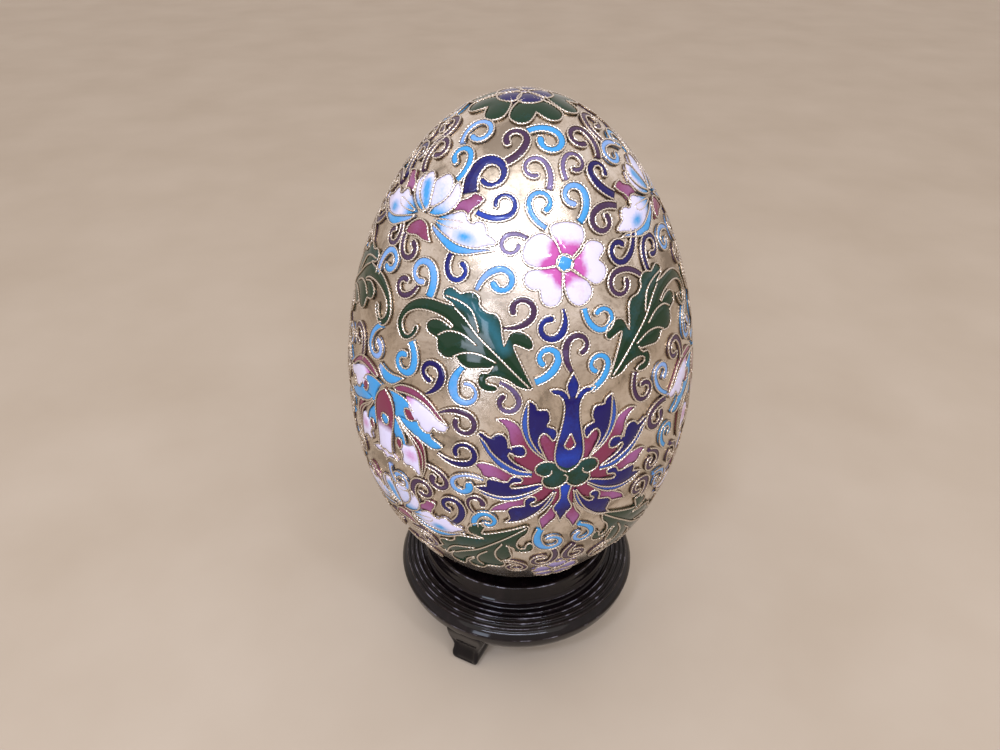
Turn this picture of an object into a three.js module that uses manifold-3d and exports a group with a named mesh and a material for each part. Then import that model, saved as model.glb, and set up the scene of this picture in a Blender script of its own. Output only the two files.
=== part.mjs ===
// A cloisonne egg on a turned stand with three carved feet.
// Millimetres, +Z up. The origin is on the floor, under the middle of the stand.
// Angles round the egg are in degrees, from the front (-Y) towards +X.
import * as THREE from 'three';
import { mergeVertices } from 'three/addons/utils/BufferGeometryUtils.js';
import Module from 'manifold-3d';

// Driving dimensions
const EGG_HEIGHT = 125;
const EGG_RADIUS = 41.24;
const EGG_BLUNTNESS = 0.1; // how much fuller the lower half is than the upper
const RELIEF = 0.6; // how far the enamelled figures stand proud of the gilt ground
const SEAT_DEPTH = 7; // how deep the egg sits in the stand
const STAND_HEIGHT = 27;
const STAND_RADIUS = 33.1;
const FOOT_HEIGHT = 8.6;
const FOOT_ANGLES = [-27, 93, 213];
const CLEARANCE = 0.3; // between pieces that rest on each other
const REPEATS = 3; // the figures repeat this many times round the egg

const EGG_SEGMENTS = 28;
const EGG_RINGS = 14;
const STAND_SEGMENTS = 32;

const EGG_BASE = STAND_HEIGHT - SEAT_DEPTH;
const SECTOR = 360 / REPEATS;

const wasm = await Module();
wasm.setup();

// ---------------------------------------------------------------- solids

function toManifold(geometry) {
  const plain = geometry.clone();
  plain.deleteAttribute('normal');
  plain.deleteAttribute('uv');
  const merged = mergeVertices(plain, 1e-4);
  return new wasm.Manifold(new wasm.Mesh({
    numProp: 3,
    vertProperties: merged.attributes.position.array,
    triVerts: Uint32Array.from(merged.index.array),
  }));
}

function toGeometry(solid) {
  const mesh = solid.getMesh();
  const geometry = new THREE.BufferGeometry();
  geometry.setAttribute('position', new THREE.BufferAttribute(mesh.vertProperties, mesh.numProp));
  geometry.setIndex(new THREE.BufferAttribute(mesh.triVerts, 1));
  geometry.computeVertexNormals();
  return geometry;
}

// A profile of [radius, height] points, from the axis round to the axis, turned about Z.
function turned(profile, segments) {
  const points = profile.map(([radius, height]) => new THREE.Vector2(radius, height));
  return new THREE.LatheGeometry(points, segments).rotateX(Math.PI / 2);
}

// ---------------------------------------------------------------- egg surface

// The meridian, by its angle from the bottom of the egg: 0 at the bottom, PI at the top.
const swell = (angle) => Math.sin(angle) * (1 + EGG_BLUNTNESS * Math.cos(angle));
const MERIDIAN_STEPS = 720;
const meridian = [];
for (let i = 0; i <= MERIDIAN_STEPS; i += 1) {
  const angle = (Math.PI * i) / MERIDIAN_STEPS;
  meridian.push({ radius: swell(angle), height: (EGG_HEIGHT / 2) * (1 - Math.cos(angle)), arc: 0 });
}
const widest = Math.max(...meridian.map((point) => point.radius));
meridian.forEach((point) => { point.radius *= EGG_RADIUS / widest; });
for (let i = 1; i <= MERIDIAN_STEPS; i += 1) {
  const a = meridian[i - 1];
  const b = meridian[i];
  b.arc = a.arc + Math.hypot(b.radius - a.radius, b.height - a.height);
}
const MERIDIAN_LENGTH = meridian[MERIDIAN_STEPS].arc;

// Radius, height and outward slope of the egg, at a distance up the meridian from its bottom.
function atArc(arc) {
  let low = 0;
  let high = MERIDIAN_STEPS;
  while (high - low > 1) {
    const middle = Math.floor((low + high) / 2);
    if (meridian[middle].arc > arc) high = middle;
    else low = middle;
  }
  const a = meridian[low];
  const b = meridian[high];
  const share = (arc - a.arc) / (b.arc - a.arc);
  return {
    radius: a.radius + share * (b.radius - a.radius),
    height: a.height + share * (b.height - a.height),
    outward: (b.height - a.height) / (b.arc - a.arc),
    upward: (a.radius - b.radius) / (b.arc - a.arc),
  };
}

// The egg's profile grown outwards, from its bottom up to a share of the meridian.
function eggProfile(grow, rings, share = 1) {
  const profile = [];
  for (let i = 0; i <= rings; i += 1) {
    const { radius, height, outward, upward } = atArc((share * MERIDIAN_LENGTH * i) / rings);
    const onAxis = i === 0 || (share === 1 && i === rings);
    profile.push([onAxis ? 0 : radius + grow * outward, EGG_BASE + height + grow * upward]);
  }
  return profile;
}

// A map from flat (across, up) millimetres round a centre to the angle and arc on the egg.
// It is an equidistant map of the sphere that touches the egg along the centre's level ring.
function chart(centreAngle, centreArc) {
  if (centreArc >= MERIDIAN_LENGTH) {
    return (across, up) => ({
      angle: THREE.MathUtils.degToRad(centreAngle) + Math.atan2(across, -up),
      arc: MERIDIAN_LENGTH - Math.hypot(across, up),
    });
  }
  const { radius, outward, upward } = atArc(centreArc);
  const tilt = Math.atan2(outward, upward); // between the surface normal and the axis
  const ball = radius / Math.sin(tilt);
  return (across, up) => {
    const reach = Math.hypot(across, up) / ball;
    const bearing = Math.atan2(across, up);
    const polar = Math.acos(Math.cos(tilt) * Math.cos(reach)
      + Math.sin(tilt) * Math.sin(reach) * Math.cos(bearing));
    const turn = Math.atan2(
      Math.sin(bearing) * Math.sin(reach) * Math.sin(tilt),
      Math.cos(reach) - Math.cos(tilt) * Math.cos(polar),
    );
    return {
      angle: THREE.MathUtils.degToRad(centreAngle) + turn,
      arc: centreArc + (tilt - polar) * ball,
    };
  };
}

// The point a given height above the egg's ground, at a flat place on a chart.
function onEgg(place, across, up, above) {
  const { angle, arc } = place(across, up);
  const { radius, height, outward, upward } = atArc(Math.min(arc, MERIDIAN_LENGTH));
  const reach = radius + above * outward;
  return [reach * Math.sin(angle), -reach * Math.cos(angle), EGG_BASE + height + above * upward];
}

// A flat outline as a block through the egg's skin. Its outer end is far enough out to clear the
// figure's whole top, which eggGeometry cuts to shape.
const ROOT = 4; // how far a raised figure runs into the egg's wall
const HEADROOM = 5;
function block(outline, place) {
  const solid = new THREE.ExtrudeGeometry(outline, { depth: 1, steps: 1, bevelEnabled: false });
  const { position } = solid.attributes;
  for (let i = 0; i < position.count; i += 1) {
    const above = position.getZ(i) > 0.5 ? HEADROOM : -ROOT;
    position.setXYZ(i, ...onEgg(place, position.getX(i), position.getY(i), above));
  }
  return toManifold(solid);
}

// ---------------------------------------------------------------- figures, in flat millimetres

// A petal from a narrow foot at a point, along a bearing from straight up; lean bends its tip aside.
function petal(x, y, bearing, length, width, lean = 0, steps = 2) {
  const half = width * 0.68;
  const foot = width * 0.16;
  const shape = new THREE.Shape();
  shape.moveTo(-foot, 0);
  shape.bezierCurveTo(-half, length * 0.3, lean * 0.5 - half, length * 0.8, lean, length);
  shape.bezierCurveTo(lean * 0.5 + half, length * 0.8, half, length * 0.3, foot, 0);
  const turn = THREE.MathUtils.degToRad(-bearing);
  const middle = new THREE.Vector2();
  const foothold = new THREE.Vector2(x, y);
  const points = shape.getPoints(steps).map((point) => point.clone().rotateAround(middle, turn).add(foothold));
  return new THREE.Shape(points);
}

function disc(x, y, radius, sides) {
  const points = [];
  for (let i = 0; i < sides; i += 1) {
    const angle = (2 * Math.PI * i) / sides;
    points.push(new THREE.Vector2(x + radius * Math.cos(angle), y + radius * Math.sin(angle)));
  }
  return new THREE.Shape(points);
}

// The great lotus: claw petals in mirrored pairs, a vase and crown above them, a point below.
const LOTUS_PAIRS = [
  // bearing, foot distance, length, width, lean
  [29, 4, 15, 6.5, -3],
  [64, 5, 16, 7.5, -3],
  [100, 5, 16, 7.5, 1],
  [138, 4, 15, 8, 2],
];
function lotus() {
  const heart = -2; // height of the middle, from which the petals spread
  const shapes = [petal(0, -2, 0, 19, 5.6), petal(0, 14, 0, 8, 3.4), petal(0, -3, 180, 13, 5)];
  shapes.push(disc(0, -1.5, 6, 8));
  [-1, 1].forEach((side) => {
    LOTUS_PAIRS.forEach(([bearing, foot, length, width, lean]) => {
      const angle = THREE.MathUtils.degToRad(side * bearing);
      const x = foot * Math.sin(angle);
      const y = heart + foot * Math.cos(angle);
      shapes.push(petal(x, y, side * bearing, length, width, side * lean));
    });
  });
  return shapes;
}

// The hanging lotus: a broad drop in the middle and drooping petals to each side.
function hangingLotus() {
  const shapes = [petal(0, 9, 180, 18, 7)];
  [-1, 1].forEach((side) => {
    shapes.push(petal(side * 1, 8.5, side * 95, 15.5, 7.5, side * 3));
    shapes.push(petal(side * 2, 4, side * 138, 15.5, 6.5, side * 2));
  });
  return shapes;
}

// The small lotus: petals standing in a cup, with a wing to each side.
function smallLotus() {
  const shapes = [petal(0, -2, 0, 10, 7)];
  [-1, 1].forEach((side) => {
    shapes.push(petal(0, -1.4, side * 36, 9, 7, side * -1));
    shapes.push(petal(side * 1, -2, side * 92, 15, 6.8, side * 1));
  });
  return shapes;
}

function plumBlossom() {
  const petals = 5;
  const shapes = [disc(0, 0, 2.6, 5)];
  for (let i = 0; i < petals; i += 1) {
    const angle = THREE.MathUtils.degToRad(18 + (360 * i) / petals);
    shapes.push(disc(4.9 * Math.sin(angle), 4.9 * Math.cos(angle), 3.6, 6));
  }
  return shapes;
}

// The rosette on the crown of the egg: pairs of rounded lobes, with a deep cleft between the pairs.
function crownRosette() {
  const pairs = 5;
  const lobe = [5.5, 9.8, 10.2, 8.8, 10.2, 9.8]; // radius in six steps across one pair
  const points = [];
  for (let i = 0; i < pairs * lobe.length; i += 1) {
    const angle = THREE.MathUtils.degToRad(129 + (360 * i) / (pairs * lobe.length));
    const radius = lobe[i % lobe.length];
    points.push(new THREE.Vector2(radius * Math.sin(angle), radius * Math.cos(angle)));
  }
  return [new THREE.Shape(points.reverse())];
}

// A leaf along a curved rib: a blade with lobed edges, then a bare stalk that curls round. Its top
// bends with the egg, so it needs no cutting.
const BLADE_STEPS = 6;
const STALK_STEPS = 4;
function leaf(rib, bladeHalfWidth, stalkHalfWidth, side, place) {
  const curve = new THREE.CatmullRomCurve3(rib.map(([x, y]) => new THREE.Vector3(side * x, y, 0)));
  const steps = BLADE_STEPS + STALK_STEPS;
  const solid = new THREE.BoxGeometry(2, 1, 1, 2, steps, 1);
  const { position } = solid.attributes;
  for (let i = 0; i < position.count; i += 1) {
    const share = position.getY(i) + 0.5;
    const step = Math.round(share * steps);
    const lobed = step % 2 === 1 ? 1 : 0.7;
    const blade = 0.5 + bladeHalfWidth * lobed * Math.sin((Math.PI * step) / BLADE_STEPS);
    const half = step < BLADE_STEPS ? blade : stalkHalfWidth * (1.5 - 0.8 * share);
    const aside = position.getX(i) * half;
    const at = curve.getPointAt(share);
    const way = curve.getTangentAt(share);
    const above = position.getZ(i) > 0 ? RELIEF : -ROOT / 2;
    position.setXYZ(i, ...onEgg(place, at.x + way.y * aside, at.y - way.x * aside, above));
  }
  return toManifold(solid);
}

// ---------------------------------------------------------------- the egg

const FRONT = 13.5; // the angle of the front figure's middle line
const BETWEEN = FRONT - SECTOR / 2;
const LEAF_RIB = [[14.5, -8], [8, -2.5], [1.5, 2.4], [-4, 4.7], [-9, 4.9], [-13, 2.6], [-14.2, -0.8], [-11.5, -2.4]];
const LOWER_LEAF_RIB = [[7, 11.5], [2, 5], [-3, 0], [-8, -3.5], [-13, -6], [-18, -8.5]];

function eggGeometry() {
  const pole = chart(0, MERIDIAN_LENGTH);
  const blocks = crownRosette().map((outline) => block(outline, pole));
  const leaves = [];
  const add = (outlines, angle, arc) => {
    outlines.forEach((outline) => blocks.push(block(outline, chart(angle, arc))));
  };
  for (let i = 0; i < REPEATS; i += 1) {
    const turn = SECTOR * i;
    add(lotus(), FRONT + turn, 82);
    add(hangingLotus(), BETWEEN + turn, 86);
    add(plumBlossom(), FRONT + turn, 125);
    add(smallLotus(), BETWEEN + turn, 132);
    add(smallLotus(), BETWEEN + turn, 62);
    [-1, 1].forEach((side) => {
      leaves.push(leaf(LEAF_RIB, 6, 1.1, -side, chart(FRONT + turn + side * 33.5, 110)));
      leaves.push(leaf(LOWER_LEAF_RIB, 5.5, 1.4, -side, chart(FRONT + turn + side * 23.5, 54)));
    });
  }
  const body = toManifold(turned(eggProfile(0, EGG_RINGS), EGG_SEGMENTS));
  const skin = toManifold(turned(eggProfile(RELIEF, EGG_RINGS), EGG_SEGMENTS));
  const join = (solids) => solids.reduce((whole, solid) => whole.add(solid));
  return toGeometry(body.add(join(blocks).intersect(skin)).add(join(leaves)));
}

// ---------------------------------------------------------------- the stand

// Round the outside of the stand, from its flat underside to its top edge.
const RIM_HEIGHT = 15.6;
const STAND_OUTSIDE = [
  [27.6, FOOT_HEIGHT],
  [29.8, FOOT_HEIGHT + 0.6],
  [31.6, FOOT_HEIGHT + 2.3],
  [32.8, FOOT_HEIGHT + 4.8],
  [STAND_RADIUS, RIM_HEIGHT],
  [32.5, RIM_HEIGHT + 1.7],
  [31, RIM_HEIGHT + 2.7],
  [28.6, RIM_HEIGHT + 3.5],
  [26.2, RIM_HEIGHT + 4.6],
  [25.6, RIM_HEIGHT + 5.6],
  [26.3, RIM_HEIGHT + 6.4],
  [26, STAND_HEIGHT - 0.8],
  [25.3, STAND_HEIGHT],
];
const SEAT_RINGS = 5;
const LIP = 0.8; // the seat's rounded-off inner edge

function standGeometry() {
  const seatTop = meridian.find((point) => point.height > SEAT_DEPTH - LIP);
  const seat = eggProfile(CLEARANCE, SEAT_RINGS, seatTop.arc / MERIDIAN_LENGTH);
  const [seatRadius] = seat[seat.length - 1];
  const lip = [seatRadius + 2.5 * LIP, STAND_HEIGHT];
  return turned([[0, FOOT_HEIGHT], ...STAND_OUTSIDE, lip, ...seat.reverse()], STAND_SEGMENTS);
}

// ---------------------------------------------------------------- the feet

// One foot, carved from the side and from the front, on the -Y side of the stand.
const FOOT_WIDTH = 10.5;
const TOE_WIDTH = 5.4;
function footGeometry() {
  const side = new THREE.Shape();
  side.moveTo(-23.5, 12);
  side.lineTo(-23.5, 7);
  side.quadraticCurveTo(-24, 2.5, -26.2, 0);
  side.lineTo(-30.3, 0);
  side.quadraticCurveTo(-31.8, 0.8, -31.2, 2.4);
  side.quadraticCurveTo(-29.6, 4.6, -31.4, 8);
  side.lineTo(-32.6, 12);
  side.closePath();
  const front = new THREE.Shape();
  front.moveTo(-FOOT_WIDTH / 2, 13);
  front.lineTo(-FOOT_WIDTH / 2, 8);
  front.quadraticCurveTo(-TOE_WIDTH / 2 - 0.4, 6, -TOE_WIDTH / 2, -1);
  front.lineTo(TOE_WIDTH / 2, -1);
  front.quadraticCurveTo(TOE_WIDTH / 2 + 0.4, 6, FOOT_WIDTH / 2, 8);
  front.lineTo(FOOT_WIDTH / 2, 13);
  front.closePath();
  const curveSegments = 4;
  const wide = FOOT_WIDTH * 2;
  const sideBlock = new THREE.ExtrudeGeometry(side, { depth: wide, bevelEnabled: false, curveSegments });
  sideBlock.translate(0, 0, -FOOT_WIDTH).rotateX(Math.PI / 2).rotateZ(Math.PI / 2);
  const frontBlock = new THREE.ExtrudeGeometry(front, { depth: 40, bevelEnabled: false, curveSegments });
  frontBlock.rotateX(Math.PI / 2);
  const clear = STAND_OUTSIDE.slice(0, 5).map(([radius, height]) => [radius + CLEARANCE, height - CLEARANCE]);
  const cutter = toManifold(turned([[0, clear[0][1]], ...clear, [40, 20], [0, 20]], STAND_SEGMENTS));
  return toGeometry(toManifold(sideBlock).intersect(toManifold(frontBlock)).subtract(cutter));
}

// ---------------------------------------------------------------- the model

const gilt = new THREE.MeshStandardMaterial({ color: 0xd8b478, metalness: 0.9, roughness: 0.35 });
const lacquer = new THREE.MeshStandardMaterial({ color: 0x1e1416, metalness: 0, roughness: 0.2 });

function named(name, geometry, material) {
  const mesh = new THREE.Mesh(geometry, material);
  mesh.name = name;
  return mesh;
}

const model = new THREE.Group();
model.add(named('egg', eggGeometry(), gilt));
model.add(named('stand', standGeometry(), lacquer));
const foot = footGeometry();
FOOT_ANGLES.forEach((angle, index) => {
  const place = new THREE.Group();
  place.rotation.z = THREE.MathUtils.degToRad(angle);
  place.add(named(`foot_${index + 1}`, foot, lacquer));
  model.add(place);
});

export default model;
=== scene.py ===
import functools
import math
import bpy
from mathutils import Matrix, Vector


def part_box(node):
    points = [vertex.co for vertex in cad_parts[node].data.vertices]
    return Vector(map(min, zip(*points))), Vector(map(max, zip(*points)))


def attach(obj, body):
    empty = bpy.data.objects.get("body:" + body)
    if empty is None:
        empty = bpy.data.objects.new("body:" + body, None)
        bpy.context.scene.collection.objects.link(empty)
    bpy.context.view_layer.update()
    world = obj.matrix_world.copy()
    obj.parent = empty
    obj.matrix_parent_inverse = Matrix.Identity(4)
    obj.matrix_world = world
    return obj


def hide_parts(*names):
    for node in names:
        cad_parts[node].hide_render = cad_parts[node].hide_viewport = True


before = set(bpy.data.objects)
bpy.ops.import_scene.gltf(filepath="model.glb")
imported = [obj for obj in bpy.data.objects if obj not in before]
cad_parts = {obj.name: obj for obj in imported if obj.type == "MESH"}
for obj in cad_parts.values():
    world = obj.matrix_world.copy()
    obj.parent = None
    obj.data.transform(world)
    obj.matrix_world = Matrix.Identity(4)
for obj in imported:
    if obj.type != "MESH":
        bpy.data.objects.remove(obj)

from types import SimpleNamespace

import bmesh
import bpy
import numpy as np
from mathutils import Matrix, Vector

bl_info = {
    "name": "Jewelled egg",
    "version": (1, 0, 0),
    "blender": (4, 5, 0),
    "location": "View3D > Sidebar > Jewelled egg",
    "description": "Builds a gilt cloisonne egg on a lacquered stand",
    "category": "Add Mesh",
}

MM = 0.001
REPEATS = 3  # the figures repeat this many times round the egg
FRONT = 14.0  # degrees from the front, -Y, towards +X, of the great lotus's middle
SIDE = FRONT - 60.0  # and of the hanging lotus's middle
RELIEF = 0.6  # how far the egg's raised figures stand above its ground in the frame, mm
EGG_LOW, EGG_HIGH = (corner.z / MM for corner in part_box("egg"))  # mm


# ------------------------------------------------------------------ sizes and colours

def linear(tone):
    """An sRGB hex colour as linear RGBA."""
    parts = [int(tone[i:i + 2], 16) / 255 for i in (1, 3, 5)]
    return [c / 12.92 if c <= 0.04045 else ((c + 0.055) / 1.055) ** 2.4 for c in parts] + [1.0]


def length(name, text, size):
    """A property that holds a length, given here in mm."""
    return bpy.props.FloatProperty(
        name=name, description=text, default=size * MM, min=0.0, precision=5, unit="LENGTH")


def colour(name, text, tone):
    """A property that holds a colour, given here as sRGB hex."""
    return bpy.props.FloatVectorProperty(
        name=name, description=text, default=linear(tone), size=4, min=0.0, max=1.0, subtype="COLOR")


class EggSizes(bpy.types.PropertyGroup):
    """Sizes of the egg, its enamel and its wire."""

    bluntness: bpy.props.FloatProperty(
        name="Bluntness", description="How much fuller the egg's lower half is than its upper half",
        default=0.1, min=0.0, max=0.3, subtype="FACTOR")
    height: length("Height", "Gilt ground from its bottom to its top", EGG_HIGH - EGG_LOW - RELIEF)
    radius: length("Radius", "Gilt ground at its widest ring", 41.24)
    base: length("Base", "The egg's bottom above the floor", EGG_LOW)
    wire: length("Wire", "Width of the twisted wire", 0.58)
    twist: length("Twist", "Length of one bead of the twisted wire", 0.75)
    enamel_edge: length("Enamel at the wire", "Enamel above the ground beside a wire", 0.3)
    enamel_swell: length("Enamel swell", "How much higher the enamel is inside a cell", 0.2)
    mesh_step: length("Mesh step", "Spacing of the cuts across an enamel cell", 0.8)


class Finishes(bpy.types.PropertyGroup):
    """Colours of the metal, the enamels, the lacquer and the floor."""

    gilt: colour("Gilt", "Gilt ground of the egg", "#D8CEC1")
    wire: colour("Wire", "Gilt wire", "#F6F0E8")
    navy: colour("Navy", "Dark blue enamel", "#140E4C")
    navy_light: colour("Navy, light", "Dark blue enamel where it is thin", "#1A3A98")
    royal: colour("Royal blue", "Blue enamel of the petal stripes", "#243F86")
    royal_light: colour("Royal blue, light", "The same where it is thin", "#3359A8")
    sky: colour("Sky blue", "Light blue enamel", "#3A8CC4")
    sky_light: colour("Sky blue, light", "The same shaded to lilac", "#98A6D6")
    green: colour("Green", "Dark green enamel of the leaves", "#0F2C1A")
    green_light: colour("Green, light", "The same shaded to teal", "#1B5560")
    magenta: colour("Magenta", "Wine red enamel", "#702A42")
    magenta_light: colour("Magenta, light", "The same shaded to pink", "#8A4F7C")
    violet: colour("Violet", "Purple-brown enamel of the scrolls", "#3B2540")
    violet_light: colour("Violet, light", "The same shaded to lilac", "#8C80AE")
    white: colour("White", "Bluish white enamel", "#CCC8E0")
    blush: colour("Blush", "Pink that white petals shade to", "#B24E98")
    lacquer: colour("Lacquer", "Dark brown lacquer of the stand", "#0C0709")
    floor: colour("Floor", "Studio floor", "#A99C8A")


def sizes():
    """The egg's sizes, its lengths in mm."""
    group = bpy.context.scene.egg_sizes
    lengths = {key: getattr(group, key) / MM for key in EggSizes.__annotations__}
    return SimpleNamespace(**{**lengths, "bluntness": group.bluntness})


def finishes():
    """The colours, as linear RGBA."""
    return bpy.context.scene.egg_finishes


# ------------------------------------------------------------------ the egg's surface

TOP = math.inf  # stands for the arc of the egg's top



@functools.lru_cache(maxsize=None)
def meridian(height, radius, bluntness):
    """Arc, radius, height and slope along the egg's outline, from its bottom up."""
    turn = np.linspace(0, math.pi, 2001)
    radii = np.sin(turn) * (1 + bluntness * np.cos(turn))
    radii *= radius / radii.max()
    heights = height / 2 * (1 - np.cos(turn))
    steps = np.hypot(np.diff(radii), np.diff(heights))
    arcs = np.concatenate([[0], np.cumsum(steps)])
    return arcs, radii, heights, np.gradient(radii, arcs)


def on_egg(points, angle, arc):
    """Lays flat (across, up, above) points, in mm, on the egg round a centre.

    The centre is an angle from the front, in degrees, and an arc up the outline, in mm. The flat
    drawing is laid on a ball that fits the egg's width and slope there. At the top it is laid
    by distance and bearing from the egg's axis.
    """
    s = sizes()
    arcs, radii, heights, slope = meridian(s.height, s.radius, s.bluntness)
    across, up, above = points.T
    if arc == TOP:
        turn = np.arctan2(across, -up)
        along = arcs[-1] - np.hypot(across, up)
    else:
        tilt = math.acos(-np.interp(arc, arcs, slope))
        ball = np.interp(arc, arcs, radii) / math.sin(tilt)
        reach = np.hypot(across, up) / ball
        bearing = np.arctan2(across, up)
        level = math.cos(tilt) * np.cos(reach) + math.sin(tilt) * np.sin(reach) * np.cos(bearing)
        polar = np.arccos(np.clip(level, -1, 1))
        turn = np.arctan2(np.sin(bearing) * np.sin(reach) * math.sin(tilt),
                          np.cos(reach) - math.cos(tilt) * np.cos(polar))
        along = arc + (tilt - polar) * ball
    turn = turn + math.radians(angle)
    lean = -np.interp(along, arcs, slope)
    out = np.interp(along, arcs, radii) + above * np.sqrt(np.maximum(0, 1 - lean * lean))
    rise = s.base + np.interp(along, arcs, heights) + above * lean
    return np.stack([out * np.sin(turn), -out * np.cos(turn), rise], -1)


# ------------------------------------------------------------------ flat drawing

def spaced(line, step):
    """The line's points again, evenly spaced about a step apart."""
    line = np.asarray(line, float)
    along = np.concatenate([[0], np.cumsum(np.hypot(*np.diff(line, axis=0).T))])
    count = max(2, round(along[-1] / step) + 1)
    even = np.linspace(0, along[-1], count)
    return np.stack([np.interp(even, along, line[:, k]) for k in (0, 1)], -1)


CURVE_STEPS = 8  # of a curve, from one of its points to the next


def curve(points):
    """A Catmull-Rom curve through a few points."""
    p = np.asarray(points, float)
    if len(p) < 3:
        return p
    p = np.concatenate([[2 * p[0] - p[1]], p, [2 * p[-1] - p[-2]]])
    t = np.linspace(0, 1, CURVE_STEPS + 1)[:-1, None]
    parts = []
    for a, b, c, d in zip(p, p[1:], p[2:], p[3:]):
        parts.append(0.5 * (2 * b + (c - a) * t + (2 * a - 5 * b + 4 * c - d) * t ** 2
                            + (3 * b - a - 3 * c + d) * t ** 3))
    parts.append(p[-2:-1])
    return np.concatenate(parts)


def joined(*runs):
    """Curves end to end, with a corner at each join. A run starts where the last one ended."""
    line = curve(runs[0])
    for run in runs[1:]:
        line = np.concatenate([line, curve([tuple(line[-1])] + list(run))[1:]])
    return line


def outline(*runs):
    """A closed outline with a corner where each run starts."""
    return joined(*runs[:-1], list(runs[-1]) + [tuple(runs[0][0])])


def closed(line):
    """The line with its first point again at its end."""
    return np.concatenate([line, line[:1]])


def mirrored(half):
    """A closed outline from its left half, drawn from the middle to the middle."""
    return np.concatenate([half, flipped(half)[::-1]])


def ring(radius, steps, middle=0.0):
    """A closed circle, its centre on the vertical at a height of middle."""
    turn = np.linspace(0, math.tau, steps + 1)
    return np.stack([radius * np.cos(turn), radius * np.sin(turn) + middle], -1)


def flipped(line):
    """The line mirrored left to right."""
    return np.asarray(line, float) * (-1, 1)


def turned(points, degrees, shift=(0, 0)):
    """Points turned anticlockwise about the origin, then shifted."""
    a = math.radians(degrees)
    spin = np.array([[math.cos(a), math.sin(a)], [-math.sin(a), math.cos(a)]])
    return np.asarray(points, float) @ spin + shift


def nearness(points, lines):
    """Distance of each flat point from the nearest of some lines."""
    best = np.full(len(points), 1e9)
    for line in lines:
        a, b = line[:-1], line[1:]
        span = b - a
        square = np.maximum((span ** 2).sum(1), 1e-12)
        away = points[:, None, :] - a[None]
        share = np.clip((away * span[None]).sum(2) / square[None], 0, 1)
        gap = away - share[..., None] * span[None]
        best = np.minimum(best, np.sqrt((gap ** 2).sum(2)).min(1))
    return best


# ------------------------------------------------------------------ enamel cells and wires, mm

BELOW = -0.25  # the height that cells reach down to, under the ground
SWELL_REACH = 0.6  # how far from a wire the enamel has done most of its swelling
RIM_STEP = 0.6  # spacing of the points round a cell
FIRST_CUT = 0.37  # from a cell's edge, so that no cut runs along one
CUT_SNAP = 1e-5  # a point nearer than this to a cut is taken to be on it
WIRE_UP = 0.34  # height of a wire's middle above the ground
WIRE_END = 0.55  # how much of its width a wire keeps at its cut ends
STRAND = 0.62  # a wire's section is this much flatter than round, so that its twist shows as beads
BEAD_STEPS = 3  # cuts along one bead, which is half a turn of the twist
EASE = math.radians(35)  # how far round its curl a tendril's stem goes on straightening
BULB = 1.25  # how much wider than its neck a tendril's end is
SCROLL_STEP = 0.5  # spacing of the cuts along a tendril
STEM_POINTS, CURL_POINTS = 19, 60  # that a tendril is drawn from
SCROLL_ROWS = 4  # strips across a tendril
TIP = 0.03  # half the width of a tendril's tip
MERGED = 0.04  # points of a tendril that are closer than this become one


def everything(bm):
    """All vertices, edges and faces of a bmesh."""
    return bm.verts[:] + bm.edges[:] + bm.faces[:]


def only(geometry, kind):
    """The elements of one kind among mixed ones."""
    return [e for e in geometry if isinstance(e, kind)]


def cut(bm, axis, places):
    """Cuts a bmesh square to one axis at each place."""
    normal = [float(k == axis) for k in range(3)]
    for place in places:
        bmesh.ops.bisect_plane(bm, geom=everything(bm), dist=CUT_SNAP,
                               plane_co=[place * n for n in normal], plane_no=normal)


def new_layer():
    """An empty bmesh with a tint for each vertex."""
    bm = bmesh.new()
    bm.verts.layers.float.new("tint")
    return bm


def copy_mesh(source, target, places, tints, flip=False):
    """Adds a copy of one bmesh to another, with its vertices at new places."""
    layer = target.verts.layers.float["tint"]
    source.verts.index_update()
    copies = [target.verts.new(place) for place in places]
    for copy, value in zip(copies, tints):
        copy[layer] = value
    for face in source.faces:
        corners = [copies[v.index] for v in face.verts]
        target.faces.new(corners[::-1] if flip else corners).smooth = face.smooth


def smooth(bm):
    """Shades all faces smooth."""
    for face in bm.faces:
        face.smooth = True


def beside(line):
    """Unit vectors square to the line, to its left."""
    way = np.gradient(line, axis=0)
    way /= np.maximum(np.hypot(*way.T)[:, None], 1e-9)
    return np.stack([-way[:, 1], way[:, 0]], -1)


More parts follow.
